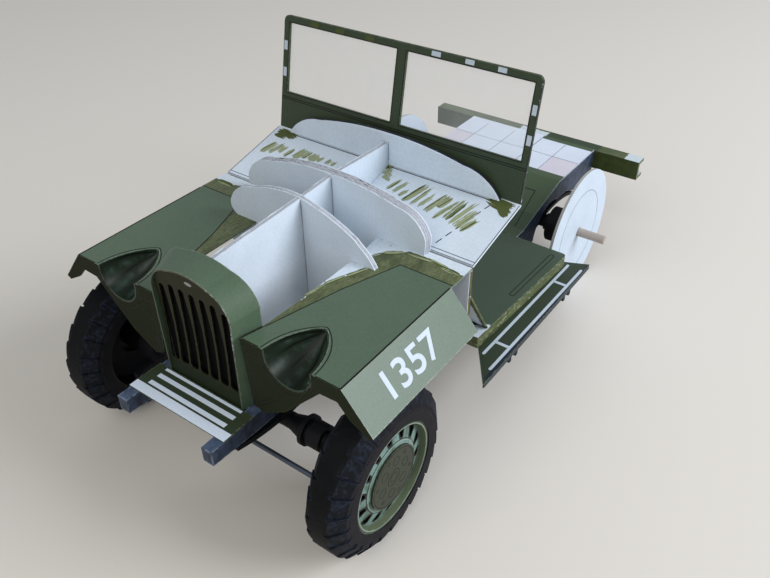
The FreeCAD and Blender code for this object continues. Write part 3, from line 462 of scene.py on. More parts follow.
def toe_card(tree):
    """White card with its ends painted olive and a black smear along its foot."""
    point = place_mm(tree)
    folded = folded_at_middle(tree, point)
    rag = wavy(tree, point, 0.6, 0.35, (1, 1, 0.6), 4.0)
    end = inside(tree, folded, "xz", oblong(27.3, 10, 30, 40), 0.1, rag)
    foot = inside(tree, folded, "xz", oblong(22.5, 18, 28.6, 19.6), 0.15, rag)
    colour = coats(tree, WHITE, (end, brush_tone(tree, point, (1, 1, 0.5))), (foot, "#23241C"))
    return card_skin(tree, point, colour, 0.55, fibre=0.35, height=0.008)


def disc_card(tree):
    """White card wheel blank with a grey cut edge."""
    point = place_mm(tree)
    colour = coats(tree, "#A2A29C", (sideways(tree, 0.7), "#BCC8D4"))
    return card_skin(tree, point, colour, 0.55, fibre=0.35, height=0.008)


def pulp_board(tree):
    """The cut edge of grey board: torn fibres in layers."""
    point = place_mm(tree)
    fibres = add(tree, "TexNoise", {"Vector": point, "Scale": 1 / 0.22, "Detail": 6.0, "Roughness": 0.7})
    pale = add(tree, "MapRange", {"Value": fibres, "From Min": 0.34, "From Max": 0.66})
    bump = add(tree, "Bump", {"Height": fibres, "Strength": 1.0, "Distance": 0.08 * MM})
    return add(tree, "BsdfPrincipled", {"Base Color": coats(tree, "#8B8E94", (pale, "#BBC0C8")),
                                        "Roughness": 0.9, "Normal": bump})


def inked_board(tree):
    """A cut edge run over with a blue-black marker."""
    point = place_mm(tree)
    missed = flecks(tree, point, 0.5, 0.55)
    return card_skin(tree, point, coats(tree, "#20252F", (missed, "#868C96")), 0.6)


def scuffed_board(tree):
    """A board edge daubed with brown and olive paint that has partly rubbed off."""
    point = place_mm(tree)
    daub = wavy(tree, point, 1.1, 1.0, (1, 1, 0.6), 5.0)
    olive = add(tree, "Math", {0: daub, 1: 0.05}, operation="GREATER_THAN")
    grey = add(tree, "Math", {0: daub, 1: -0.45}, operation="LESS_THAN")
    return card_skin(tree, point, coats(tree, "#57503A", (olive, "#5B6033"), (grey, "#A3A39B")), 0.8,
                     height=0.04)


def glue_line(tree):
    """Dried white glue and dirt between the plies."""
    return card_skin(tree, place_mm(tree), "#7F828A", 0.8)


def rail_paint(tree):
    """Thin blue-grey watercolour over card, rubbed pale along the corners."""
    point = place_mm(tree)
    cloud = add(tree, "TexNoise", {"Vector": point, "Scale": 1 / 1.4, "Detail": 6.0, "Roughness": 0.65})
    wash = add(tree, "MapRange", {"Value": cloud, "From Min": 0.34, "From Max": 0.7})
    top = facing(tree, "Z", 0.9)
    colour = coats(tree, "#1F2632", (wash, "#3D4A60"), (top, "#39465B"),
                   (all_of(tree, top, wash), "#5A6A84"), (edge_mask(tree, 0.5, 0.9), "#8794A8"))
    return card_skin(tree, point, colour, 0.55, height=0.03)


def black_paint(tree):
    """Matt black brushed over card, greyer on its corners."""
    point = place_mm(tree)
    colour = coats(tree, BLACK, (edge_mask(tree, 0.3), "#262930"))
    return card_skin(tree, point, colour, 0.6, height=0.02, specular=0.2)


def tyre_paint(tree):
    """Laminated card tyre in near-black acrylic, dry-brushed bluish on its bevelled lugs;
    the side wall keeps a brown undercoat."""
    point = place_mm(tree)
    radius = off_axle(tree, point)
    wall = add(tree, "MapRange", {"Value": radius, "From Min": 12.5, "From Max": 12.2})
    bevel = all_of(tree,
                   add(tree, "MapRange", {"Value": radius, "From Min": 12.3, "From Max": 12.7}),
                   add(tree, "MapRange", {"Value": radius, "From Min": 14.97, "From Max": 14.8}))
    drag = wavy(tree, point, 0.8, 1.0, (0.6, 1, 1), 5.0)
    drag = add(tree, "MapRange", {"Value": drag, "From Min": -0.1, "From Max": 0.8, "To Max": 0.75})
    brown = wavy(tree, point, 1.6, 1.0, (1, 1, 1), 4.0)
    brown = add(tree, "MapRange", {"Value": brown, "From Min": -0.5, "From Max": 0.6, "To Max": 0.9})
    tread = stained(tree, point, "#0C0D0F", 0.25, 2.0)
    colour = coats(tree, tread, (bevel, "#101216"), (all_of(tree, bevel, drag), "#2B3344"),
                   (wall, "#15161A"), (all_of(tree, wall, brown), "#1F1C1E"),
                   (edge_mask(tree, 0.2, 1.2), "#2C3547"))
    return card_skin(tree, point, colour, 0.6, fibre=0.4, height=0.03, specular=0.1)


def wheel_paint(tree):
    """Pale blue-green print with greener smears and olive at the rim; the hole walls, the wheel's inner
    side and its inward faces are near-black as painted shade.
    """
    point = place_mm(tree)
    radius = off_axle(tree, point)
    smear = wavy(tree, point, 2.2, 1.0, (1, 1, 1), 4.0)
    smear = add(tree, "MapRange", {"Value": smear, "From Min": -0.3, "From Max": 0.5})
    rim = add(tree, "MapRange", {"Value": radius, "From Min": 8.9, "From Max": 9.1})
    across = add(tree, "SeparateXYZ", {0: point}).outputs["X"]
    width = add(tree, "Math", {0: across}, operation="ABSOLUTE")
    hidden_inner_shade = add(tree, "MapRange", {"Value": width, "From Min": 31.0, "From Max": 30.8})
    normal = add(tree, "SeparateXYZ", {0: add(tree, "TexCoord").outputs["Normal"]}).outputs["X"]
    steep = add(tree, "Math", {0: normal}, operation="ABSOLUTE")
    steep = add(tree, "Math", {0: steep, 1: 0.5}, operation="LESS_THAN")
    sunk = add(tree, "Math", {0: radius, 1: 8.8}, operation="LESS_THAN")
    car_side = add(tree, "Math", {0: across}, operation="SIGN")
    back = add(tree, "Math", {0: normal, 1: car_side}, operation="MULTIPLY")
    back = add(tree, "Math", {0: back, 1: -0.5}, operation="LESS_THAN")
    # near-black hole walls, inner side and inward faces: painted shade inside the wheel
    colour = coats(tree, "#6F8880", (smear, "#3F5344"), (rim, "#566049"),
                   (edge_mask(tree, 0.25, 1.0), "#8C9888"), (all_of(tree, steep, sunk), "#0A0B09"),
                   (hidden_inner_shade, "#0A0B09"), (back, "#12130F"))
    return card_skin(tree, point, colour, 0.45, specular=0.2)


def hub_print(tree):
    """Olive-brown printed hub disc."""
    point = place_mm(tree)
    return card_skin(tree, point, coats(tree, "#32372A", (edge_mask(tree, 0.25), "#596050")), 0.5,
                     specular=0.2)


def ink(tree):
    """Printer's black line."""
    return card_skin(tree, place_mm(tree), INK, 0.5, height=0.002)


def hub_ink(tree):
    """Finer, browner printed line of the wheel's small circles."""
    return card_skin(tree, place_mm(tree), "#15170F", 0.5, height=0.002)


def rim_light(tree):
    """Thin pale ring along the rim's edge: a painted highlight."""
    return card_skin(tree, place_mm(tree), "#7F8F86", 0.45, height=0.002)


def pale_ink(tree):
    """Thin grey rule on the bare sheets."""
    return card_skin(tree, place_mm(tree), "#7C858F", 0.5, height=0.002)


def crease_ink(tree):
    """Dark grey rule where a bare sheet is scored and folded."""
    return card_skin(tree, place_mm(tree), "#4F5761", 0.5, height=0.002)


def white_print(tree):
    """Unprinted white left inside the green."""
    return card_skin(tree, place_mm(tree), "#BCC8D3", 0.5, height=0.004)


def bright_print(tree):
    """Bare white bars of the nose panel, whiter than the other white print as painted light, since they
    lie low and take less of the window.
    """
    return card_skin(tree, place_mm(tree), "#E2EEFC", 0.5, height=0.004)


def badge_print(tree):
    """A small blank oval, left bare."""
    return card_skin(tree, place_mm(tree), "#8F8B88", 0.5, height=0.004)


def brushed_olive(tree):
    """Acrylic retouching, full coat."""
    return card_skin(tree, place_mm(tree), OLIVE, 0.6, fibre=0.5, height=0.03)


def thin_olive(tree):
    """The same acrylic where the brush ran dry over white."""
    return card_skin(tree, place_mm(tree), OLIVE_THIN, 0.6, fibre=0.5, height=0.02)


def thin_green(tree):
    """White tabs painted over in a yellower green than the print."""
    return card_skin(tree, place_mm(tree), "#455026", 0.6, fibre=0.4, height=0.02)


def clear_film(tree):
    """Thin overhead film: a faint even veil and a soft reflection."""
    point = place_mm(tree)
    haze = add(tree, "TexNoise", {"Vector": point, "Scale": 1 / 9.0, "Detail": 2.0})
    alpha = add(tree, "MapRange", {"Value": haze, "From Min": 0.3, "From Max": 0.7,
                                   "To Min": 0.09, "To Max": 0.14})
    return add(tree, "BsdfPrincipled", {"Base Color": "#E9EDF0", "Roughness": 0.16, "Alpha": alpha})


def peg_wood(tree):
    """Birch cocktail stick: fine straight grain along its length."""
    point = place_mm(tree)
    grain = add(tree, "VectorMath", {0: point, 1: (0.25, 5.0, 5.0)}, operation="MULTIPLY")
    rings = add(tree, "TexNoise", {"Vector": grain, "Scale": 1.0, "Detail": 5.0})
    bump = add(tree, "Bump", {"Height": rings, "Strength": 0.6, "Distance": 0.03 * MM})
    return add(tree, "BsdfPrincipled", {"Base Color": coats(tree, "#85776C", (rings, "#C0B6AC")),
                                        "Roughness": 0.62, "Normal": bump})


def steel_wire(tree):
    """Drawn steel wire, dulled grey."""
    point = place_mm(tree)
    drawn = add(tree, "VectorMath", {0: point, 1: (0.4, 8.0, 8.0)}, operation="MULTIPLY")
    streak = add(tree, "TexNoise", {"Vector": drawn, "Scale": 1.0, "Detail": 4.0})
    rough = add(tree, "MapRange", {"Value": streak, "To Min": 0.3, "To Max": 0.55})
    return add(tree, "BsdfPrincipled", {"Base Color": "#545C68", "Metallic": 0.85, "Roughness": rough})


MATERIALS = {build.__name__: new_material(build.__name__, build) for build in (
    green_card, wing_card, scoop_card, shell_card, front_card, core_card, skirt_shaded_print, dark_card,
    screen_card, floor_card, rear_cover_card, beam_card, step_card, bare_card, toe_card, disc_card,
    pulp_board, inked_board, scuffed_board, glue_line, rail_paint, black_paint, tyre_paint,
    wheel_paint, hub_print, ink, hub_ink, rim_light, pale_ink, crease_ink, white_print, bright_print,
    badge_print, brushed_olive, thin_olive, thin_green, clear_film, peg_wood, steel_wire)}


def dress(material, *names):
    """Give CAD nodes one material."""
    for name in names:
        slots = NODES[name].data.materials
        slots.clear()
        slots.append(MATERIALS[material])


# ---------------------------------------------------------------------------
# Floor, light and camera
# ---------------------------------------------------------------------------
def studio():
    bpy.ops.mesh.primitive_plane_add(size=3, location=(0, 0, 0))
    floor = bpy.context.object
    floor.name = "floor"
    floor.data.materials.append(new_material("pale_floor", lambda tree: add(
        tree, "BsdfPrincipled", {"Base Color": "#D8D2C8", "Roughness": 0.8})))
    world = bpy.data.worlds.new("studio")
    bpy.context.scene.world = world
    world.use_nodes = True
    world.node_tree.nodes["Background"].inputs[0].default_value = rgb("#DDE3EA")
    world.node_tree.nodes["Background"].inputs[1].default_value = 0.54
    lamps = [
        ("window", (0.57, 0.25, 0.35), 0.5, 5.2, "#F2F6FF"),
        ("room", (0.05, -0.50, 0.50), 0.6, 1.7, "#FFFBF6"),
    ]
    for name, place, size, power, colour in lamps:
        data = bpy.data.lights.new(name, "AREA")
        data.shape = "DISK"
        data.size = size
        data.energy = power
        data.color = rgb(colour)[:3]
        lamp = bpy.data.objects.new(name, data)
        lamp.location = place
        lamp.rotation_euler = (-Vector(place)).to_track_quat("-Z", "Y").to_euler()
        bpy.context.scene.collection.objects.link(lamp)
    bpy.context.scene.view_settings.view_transform = "Standard"


def camera():
    """The viewing place, looking down on the nose from the car's left front."""
    data = bpy.data.cameras.new("camera")
    data.sensor_width = 36.0
    data.lens = 36.98
    data.clip_start = 0.005
    data.clip_end = 10
    eye = at(80.705, -68.070, 115.205)
    ahead = (at(20.59, 14.41, 38.74) - eye).normalized()
    level = ahead.cross(Vector((0, 0, 1))).normalized()
    roll = -0.01053
    side = level * math.cos(roll) + level.cross(ahead) * math.sin(roll)
    up = side.cross(ahead)
    turn = Matrix((side, up, -ahead)).transposed().to_4x4()
    made = bpy.data.objects.new("camera", data)
    made.matrix_world = Matrix.Translation(eye) @ turn
    bpy.context.scene.collection.objects.link(made)
    bpy.context.scene.camera = made


studio()
camera()

# ---------------------------------------------------------------------------
# CAD nodes that keep their shape
# ---------------------------------------------------------------------------
dress("rail_paint", "frame_rail_left", "frame_rail_right", "cross_members")
dress("shell_card", "radiator_shell")
dress("wing_card", "wing_left", "wing_right")
dress("scoop_card", "lamp_scoop_left", "lamp_scoop_right")
dress("front_card", "grille")
dress("dark_card", "front_cover_panel")
dress("screen_card", "windscreen_frame")
dress("floor_card", "floor_box")
dress("rear_cover_card", "rear_cover")
dress("step_card", "running_board_left", "running_board_right")
dress("beam_card", "rear_beam")
dress("core_card", "radiator_core")
dress("black_paint", "step_brackets", "front_axle", "rear_axle", "steering_knuckle_left",
      "steering_knuckle_right", "front_springs", "rear_springs")
dress("bare_card", "cowl_deck")
dress("toe_card", "toe_board")
dress("disc_card", "rear_disc_left", "rear_disc_right")
dress("clear_film", "windscreen_film")
dress("peg_wood", "wooden_peg")
dress("steel_wire", "tie_rod")
dress("wheel_paint", "wheel_left", "wheel_right")
dress("hub_print", "hub_disc_left", "hub_disc_right")


# ---------------------------------------------------------------------------
# Mesh building
# ---------------------------------------------------------------------------
class Piece:
    """Collects closed solids of several materials into one object."""

    def __init__(self):
        self.points = []
        self.faces = []
        self.looks = []
        self.materials = []

    def solid(self, points, faces, material):
        """Add a closed solid of one material, its points in millimetres."""
        if material not in self.materials:
            self.materials.append(material)
        first = len(self.points)
        self.points += points
        self.faces += [[first + i for i in face] for face in faces]
        self.looks += [self.materials.index(material)] * len(faces)

    def prism(self, outline, normal, low, high, material):
        """A flat outline, in millimetres, thickened from low to high along its normal."""
        count = len(outline)
        points = [p + normal * low for p in outline] + [p + normal * high for p in outline]
        faces = [list(range(count))[::-1], list(range(count, 2 * count))]
        faces += [[i, (i + 1) % count, (i + 1) % count + count, i + count] for i in range(count)]
        self.solid(points, faces, material)

    def make(self, name, body):
        """The object, riding its body."""
        mesh = bpy.data.meshes.new(name)
        mesh.from_pydata([at(*p) for p in self.points], [], self.faces)
        for material in self.materials:
            mesh.materials.append(MATERIALS[material])
        for face, look in zip(mesh.polygons, self.looks):
            face.material_index = look
        work = bmesh.new()
        work.from_mesh(mesh)
        bmesh.ops.recalc_face_normals(work, faces=work.faces)
        work.to_mesh(mesh)
        work.free()
        made = bpy.data.objects.new(name, mesh)
        bpy.context.scene.collection.objects.link(made)
        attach(made, body)
        return made


class Sheet:
    """A flat sheet of the model, for drawing on it in its own (u, v) millimetres."""

    def __init__(self, origin, u, v):
        self.origin, self.u, self.v = Vector(origin), Vector(u), Vector(v)
        self.normal = self.u.cross(self.v).normalized()

    def to(self, u, v):
        return self.origin + self.u * u + self.v * v


def loop_faces(turns, rows):
    """The faces of a section of rows points carried round a closed loop in turns steps."""
    faces = []
    for k in range(turns):
        after = (k + 1) % turns
        for i in range(rows):
            j = (i + 1) % rows
            faces.append([k * rows + i, k * rows + j, after * rows + j, after * rows + i])
    return faces


SINK = 0.05                                # prints reach this far into their sheet
LIFT = 0.03                                # and stand this far out of it
LEAN = math.radians(10.5)                  # the windscreen leans back
SCREEN_FOOT_Y, SCREEN_FOOT_Z = 44.8, 42.4  # its lower edge
DECK_FRONT, DECK_REAR = span("cowl_deck", 1)
DECK_SLOPE = 4.0 / 16.3                    # rise of the deck for each mm back
FLANGE_OUT, FLANGE_DROP = 5.5, 6.6         # the wings' outer flange
COVER_FOOT_Y, COVER_FOOT_Z = 71.7, 18.8    # where the rear cover starts to rise
COVER_SLOPE = 3.14 / 11.52                 # its rise for each mm back
WING_FRONT = span("wing_left", 1)[0]


def level_sheet(height):
    """A level sheet of the car: u is the car's left, v runs back."""
    return Sheet((0, 0, height), (1, 0, 0), (0, 1, 0))


def upright_sheet(back):
    """A sheet across the car: u is its left, v the height."""
    return Sheet((0, back, 0), (1, 0, 0), (0, 0, 1))


WING_SHEET = level_sheet(WING_TOP)
DECK_SHEET = Sheet((0, 0, WING_TOP - DECK_FRONT * DECK_SLOPE), (1, 0, 0), (0, 1, DECK_SLOPE))
SCREEN_SHEET = Sheet((0, SCREEN_FOOT_Y, SCREEN_FOOT_Z), (1, 0, 0), (0, math.sin(LEAN), math.cos(LEAN)))
SKIRT_SHEET = upright_sheet(WING_FRONT)
FLANGE_SHEET = Sheet((span("wing_left", 0)[1] - FLANGE_OUT, 0, WING_TOP), (0, 1, 0),
                     Vector((-FLANGE_OUT, 0, FLANGE_DROP)).normalized())
COVER_SHEET = level_sheet(span("front_cover_panel", 2)[1])
FLOOR_SHEET = level_sheet(span("floor_box", 2)[1])
STEP_SHEET = level_sheet(span("running_board_left", 2)[1])
TAIL_SHEET = level_sheet(span("rear_cover", 2)[1])
SLOPE_SHEET = Sheet((0, 0, COVER_FOOT_Z - COVER_FOOT_Y * COVER_SLOPE), (1, 0, 0), (0, 1, COVER_SLOPE))


def stroke(points, width, round_ends=False):
    """The outline of a line of constant width through (u, v) points."""
    path = [Vector((p[0], p[1])) for p in points]
    left, right = [], []
    for i, p in enumerate(path):
        before = (p - path[i - 1]).normalized() if i else None
        after = (path[i + 1] - p).normalized() if i + 1 < len(path) else None
        run = ((before or after) + (after or before)).normalized()
        side = Vector((-run.y, run.x))
        reach = width / 2 / max(0.5, abs(side.dot(Vector((-(after or before).y, (after or before).x)))))
        left.append(p + side * reach)
        right.append(p - side * reach)

    def cap(center, run):
        side = Vector((-run.y, run.x))
        return [center + (side * math.cos(a) + run * math.sin(a)) * width / 2
                for a in (math.pi * k / 8 for k in range(1, 8))]
    if not round_ends:
        return left + right[::-1]
    return left + cap(path[-1], (path[-1] - path[-2]).normalized()) + right[::-1] + cap(
        path[0], (path[0] - path[1]).normalized())


def draw(piece, sheet, points, width, material, lift=LIFT, round_ends=False, mirror=False):
    """Print a line on a sheet, and its mirror image where asked."""
    for sign in ((1, -1) if mirror else (1,)):
        outline = [sheet.to(p[0] * sign, p[1]) for p in stroke(points, width, round_ends)]
        piece.prism(outline, sheet.normal, -SINK, lift, material)


def fill(piece, sheet, corners, material, lift=LIFT, mirror=False):
    """Print a filled outline on a sheet."""
    for sign in ((1, -1) if mirror else (1,)):
        piece.prism([sheet.to(u * sign, v) for u, v in corners], sheet.normal, -SINK, lift, material)


def arc_points(center, radius, start, end, count):
    """Points (u, v) on a circle's arc, angles in degrees."""
    angles = [math.radians(start + (end - start) * k / count) for k in range(count + 1)]
    return [(center[0] + radius * math.cos(a), center[1] + radius * math.sin(a)) for a in angles]


def brush(piece, sheet, path, width, seed, dry=0.35, missing=0.0):
    """One stroke of a small brush: many bristle traces that start and stop unevenly; dry
    is the share of them short of paint, missing the share that left none."""
    rng = random.Random(seed)
    path = [Vector(p) for p in path]
    lengths = [(b - a).length for a, b in zip(path, path[1:])]
    total = sum(lengths)

    def along(t):
        rest = max(0.0, min(t, 0.9999)) * total
        for a, b, length in zip(path, path[1:], lengths):
            if rest <= length:
                return a.lerp(b, rest / length), (b - a).normalized()
            rest -= length
        return path[-1], (path[-1] - path[-2]).normalized()
    traces = max(4, round(width / 0.14))
    for k in range(traces):
        if rng.random() < missing:
            continue
        share = (k + 0.5) / traces - 0.5
        start = rng.uniform(0, 0.12) + 0.12 * abs(share)
        stop = 1 - rng.uniform(0, 0.25) - 0.2 * abs(share)
        thick = 0.22 * rng.uniform(0.7, 1.4)
        steps = max(3, round((stop - start) * total / 0.5))
        left, right = [], []
        for i in range(steps + 1):
            center, run = along(start + (stop - start) * i / steps)
            side = Vector((-run.y, run.x))
            wobble = noise.noise(Vector((center.x * 1.3, center.y * 1.3, seed * 3.1 + k))) * 0.12
            half = thick / 2 * (1 - 0.75 * abs(2 * i / steps - 1) ** 4)
            left.append(center + side * (share * width + wobble + half))
            right.append(center + side * (share * width + wobble - half))
        outline = [sheet.to(p.x, p.y) for p in left + right[::-1]]
        look = "thin_olive" if rng.random() < dry else "brushed_olive"
        piece.prism(outline, sheet.normal, -SINK, 0.02 + rng.uniform(0, 0.03), look)


# ---------------------------------------------------------------------------
# Printing and paint
# ---------------------------------------------------------------------------
RING_SIDES = 72


def ring_print(piece, sheet, radius, width, material, lift=LIFT, cone=None):
    """A printed circle about the sheet's origin; a cone (radius, fall for each mm outwards
    of it) sets it on a dished face."""
    def on(r, angle):
        flat = sheet.to(r * math.cos(angle), r * math.sin(angle))
        return flat - sheet.normal * ((r - cone[0]) * cone[1] if cone else 0.0)
    inner, outer = radius - width / 2, radius + width / 2
    for k in range(RING_SIDES):
        a, b = (math.tau * j / RING_SIDES for j in (k, k + 1))
        piece.prism([on(inner, a), on(outer, a), on(outer, b), on(inner, b)], sheet.normal, -SINK, lift,
                    material)


def wing_prints():
    """Fine black rules on the wings: the edge of the print, the folds, the scoops' outlines,
    and the ribs drawn on the front skirts."""
    lines = Piece()
    fold = FLANGE_SHEET.origin.x
    edge = WING_FRONT + 0.12
    for path, width in ((WING_LINE, 0.17),
                        ([(fold - 0.1, WING_FRONT + 0.1), (fold - 0.1, 21.0)], 0.26),
                        ([(9.75, WING_FRONT + 0.1), (10.7, -3.6)], 0.24),
                        ([(10.0, edge), (13.3, edge)], 0.16),
                        ([(24.3, edge), (fold, edge)], 0.16)):
        draw(lines, WING_SHEET, path, width, "ink", mirror=True)
    leaf = []
    for k in range(1, 32):
        along = math.sin(math.pi * k / 32)
        half = math.copysign(5.2 * (1 - along ** 2.4) ** 0.8, math.cos(math.pi * k / 32))
        leaf.append((SCOOP_X + half, -8.5 + 10.3 * along))
    draw(lines, WING_SHEET, [p for p in leaf if p[1] > WING_FRONT + 0.1], 0.16, "ink", mirror=True)
    below = arc_points((SCOOP_X, 37.1), 5.35, 172, 292, 18) + [(23.65, 37.6)]
    draw(lines, SKIRT_SHEET, below, 0.16, "ink", mirror=True)
    for rib in ([(10.3, 37.2), (10.4, 36.0), (13.3, 36.0), (14.6, 33.6)],
                [(10.6, 36.0), (10.9, 25.2)],
                [(11.0, 31.9), (11.2, 32.3), (11.6, 32.3), (11.8, 31.9), (11.8, 25.4), (19.0, 31.4),
                 (18.6, 32.0), (12.2, 26.6)],
                [(11.0, 31.9), (11.1, 24.8)],
                [(23.0, 35.0), (24.6, 35.2), (24.0, 36.2), (23.0, 35.0)]):
        draw(lines, SKIRT_SHEET, rib, 0.16, "ink", mirror=True)
    lines.make("printed_lines_wings", CHASSIS)
    drop = Piece()
    above = at(SCOOP_X + 2.6, WING_FRONT + 1.7, WING_TOP + 1)
    _, place, normal, _ = NODES["lamp_scoop_left"].ray_cast(above, (0, 0, -1))
    u = normal.cross((0, 1, 0)).normalized()
    nest = Sheet(place / MM - Vector((0, AXLE_Y, 0)), u, normal.cross(u))
    fill(drop, nest, arc_points((0, 0), 0.24, 0, 330, 11), "thin_olive", 0.06)
    drop.make("paint_drop_scoop", CHASSIS)


def cover_prints():
    """White bars across the panel ahead of the radiator, a small blank oval above the
    slots, and a dark glue tab behind the panel."""
    bars = Piece()
    for half, low, high in ((11.0, -15.2, -13.45), (8.9, -13.05, -12.2), (8.9, -11.1, -10.25),
                            (8.9, -9.3, -8.75)):
        fill(bars, COVER_SHEET, oblong(-half, low, half, high), "bright_print")
    bars.make("cover_panel_bars", CHASSIS)
    badge = Piece()
    turns = [math.tau * k / 20 for k in range(20)]
    oval = [(0.2 + 0.8 * math.cos(a), 44.6 + 0.32 * math.sin(a)) for a in turns]
    fill(badge, upright_sheet(span("grille", 1)[0] + 0.2), oval, "badge_print")
    badge.make("radiator_badge", CHASSIS)
    tab = Piece()
    foot = span("front_cover_panel", 2)[0]
    rear = span("front_cover_panel", 1)[1]
    corners = oblong(-8.6, rear - 0.08, 8.6, rear + 1.2)
    tab.prism([Vector((x, y, foot)) for x, y in corners], Vector((0, 0, 1)), -0.4, -0.02, "core_card")
    tab.make("nose_glue_tab", CHASSIS)


NUMBER_LONG, NUMBER_HIGH = 13.2, 4.7       # mm


def number_on_wing():
    """A plain white number on the left flange."""
    text = bpy.data.curves.new("number", "FONT")
    text.body = "1357"
    text.size = 6.5 * MM
    text.offset = 0.09 * MM
    text.extrude = 0.03 * MM
    text.resolution_u = 6
    text.materials.append(MATERIALS["white_print"])
    made = bpy.data.objects.new("wing_number", text)
    bpy.context.scene.collection.objects.link(made)
    bpy.context.view_layer.update()
    low, high = (Vector(made.bound_box[k]) for k in (0, 6))
    wide = NUMBER_LONG * MM / (high.x - low.x)
    tall = NUMBER_HIGH * MM / (high.y - low.y)
    sheet = FLANGE_SHEET
    turn = Matrix((sheet.u, sheet.v, sheet.normal)).transposed().to_4x4()
    corner = at(*sheet.to(-0.7, -6.75))
    fit = Matrix.Diagonal((wide, tall, 1, 1)) @ Matrix.Translation((-low.x, -low.y, 0))
    made.matrix_world = Matrix.Translation(corner) @ turn @ fit
    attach(made, CHASSIS)


def screen_prints():
    """Rules round the panes, white patches along the frame and painted-over ones."""
    lines = Piece()
    for sign in (1, -1):
        pane = [(1.0, 7.5), (27.2, 7.5), (27.2, 21.5), (1.0, 21.5)]
        for a, b in zip(pane, pane[1:] + pane[:1]):
            draw(lines, SCREEN_SHEET, [(a[0] * sign, a[1]), (b[0] * sign, b[1])], 0.18, "ink")
    for height in (6.15, 6.55):
        draw(lines, SCREEN_SHEET, [(-28.4, height), (28.4, height)], 0.15, "ink")
    lines.make("printed_lines_windscreen", CHASSIS)
    tabs = Piece()
    for left, right in ((6.4, 8.3), (13.4, 15.2), (19.9, 21.6)):
        fill(tabs, SCREEN_SHEET, oblong(left, 21.75, right, 22.6), "white_print", 0.05)
    for low, high in ((16.0, 17.8), (10.7, 12.5)):
        for sign in (1, -1):
            outline = [(27.45 * sign, low), (28.3 * sign, low), (28.3 * sign, high), (27.45 * sign, high)]
            fill(tabs, SCREEN_SHEET, outline, "white_print", 0.05)
    for left in (-21.7, -15.5, -8.4):
        fill(tabs, SCREEN_SHEET, oblong(left, 21.6, left + 2, 22.5), "thin_green", 0.05)
    tabs.make("windscreen_patches", CHASSIS)


# Trial strokes on the deck, slanted dabs and loose waves, as (path, width)
TRIALS = [
    ([(0.4, 43.2), (2.2, 42.4)], 0.7), ([(0.6, 41.9), (2.9, 41.2)], 0.6),
    ([(1.2, 40.8), (3.2, 40.2)], 0.6), ([(4.0, 38.2), (5.2, 41.3)], 0.5),
    ([(5.6, 38.0), (6.7, 41.1)], 0.6), ([(7.2, 37.6), (8.0, 39.6)], 0.5),
    ([(8.8, 36.9), (10.5, 41.9)], 0.9), ([(10.6, 36.8), (11.9, 41.6)], 0.5),
    ([(12.2, 36.9), (13.3, 40.4)], 0.6), ([(13.9, 36.2), (15.7, 41.7)], 0.8),
    ([(15.5, 38.2), (16.6, 41.2)], 1.0), ([(16.3, 35.6), (18.2, 40.6)], 0.6),
    ([(18.3, 36.2), (19.5, 41.4)], 1.0), ([(19.7, 35.6), (21.5, 41.6)], 0.7),
    ([(21.0, 35.3), (22.5, 39.8)], 1.1), ([(22.4, 34.9), (23.9, 38.4)], 0.8),
    ([(-26.6, 36.6), (-25.3, 40.0)], 1.0), ([(-24.9, 37.0), (-23.7, 40.2)], 0.8),
    ([(-23.2, 37.8), (-22.5, 40.0)], 0.9), ([(-21.2, 37.4), (-20.4, 39.9)], 0.6),
    ([(-18.9, 37.8), (-17.8, 40.6)], 1.2), ([(-17.2, 38.4), (-16.4, 40.4)], 0.9),
    ([(-15.4, 38.4), (-14.5, 40.4)], 1.4), ([(-13.4, 38.8), (-12.8, 40.2)], 0.7),
    ([(-11.6, 38.9), (-11.1, 40.3)], 0.6), ([(-10.2, 38.9), (-9.8, 40.2)], 0.5),
]
CORNER_DABS = [
    ([(-28.2, 43.6), (-22.0, 42.9)], 1.6), ([(-28.0, 42.2), (-24.2, 41.9)], 1.0),
    ([(-26.0, 43.4), (-22.2, 42.2)], 1.4), ([(28.2, 42.0), (22.4, 43.3)], 1.5),
    ([(28.4, 43.6), (21.6, 44.0)], 1.3), ([(28.0, 41.0), (25.6, 42.2)], 1.3),
    ([(-0.6, 43.4), (1.8, 43.4)], 0.9),
]


def deck_prints():
    """The cowl deck: a dashed cutting line, creases, a painted shadow line at the crescent's
    foot, and trial strokes of the brush."""
    lines = Piece()
    for k in range(6):
        ends = [(20.0 + 4.0 * t, 30.0 + 13.0 * t) for t in (k / 6 + 0.02, k / 6 + 0.12)]
        draw(lines, DECK_SHEET, ends, 0.18, "ink")
    crescent = span("cowl_former", 1)[0]
    # dark line at the crescent's foot: painted shadow
    draw(lines, DECK_SHEET, [(-23.8, crescent - 0.12), (24.0, crescent - 0.12)], 0.16, "ink")
    for back in (28.55, 29.25):
        draw(lines, DECK_SHEET, [(19.2, back), (28.7, back)], 0.13, "crease_ink", mirror=True)
    side = span("cowl_deck", 0)[1] - 0.16
    draw(lines, DECK_SHEET, [(side, DECK_FRONT + 0.3), (side, DECK_REAR - 0.3)], 0.14, "crease_ink",
         mirror=True)
    lines.make("printed_lines_deck", CHASSIS)
    paint = Piece()
    for seed, (path, width) in enumerate(TRIALS):
        heart = (Vector(path[0]) + Vector(path[1])) / 2
        path = [heart + (Vector(p) - heart) * 1.3 for p in path]
        brush(paint, DECK_SHEET, path, width * 1.4, 100 + seed, 0.85, 0.12)
    for seed, (path, width) in enumerate(CORNER_DABS):
        brush(paint, DECK_SHEET, path, width, 50 + seed, 0.15)
    paint.make("brush_trials_deck", CHASSIS)


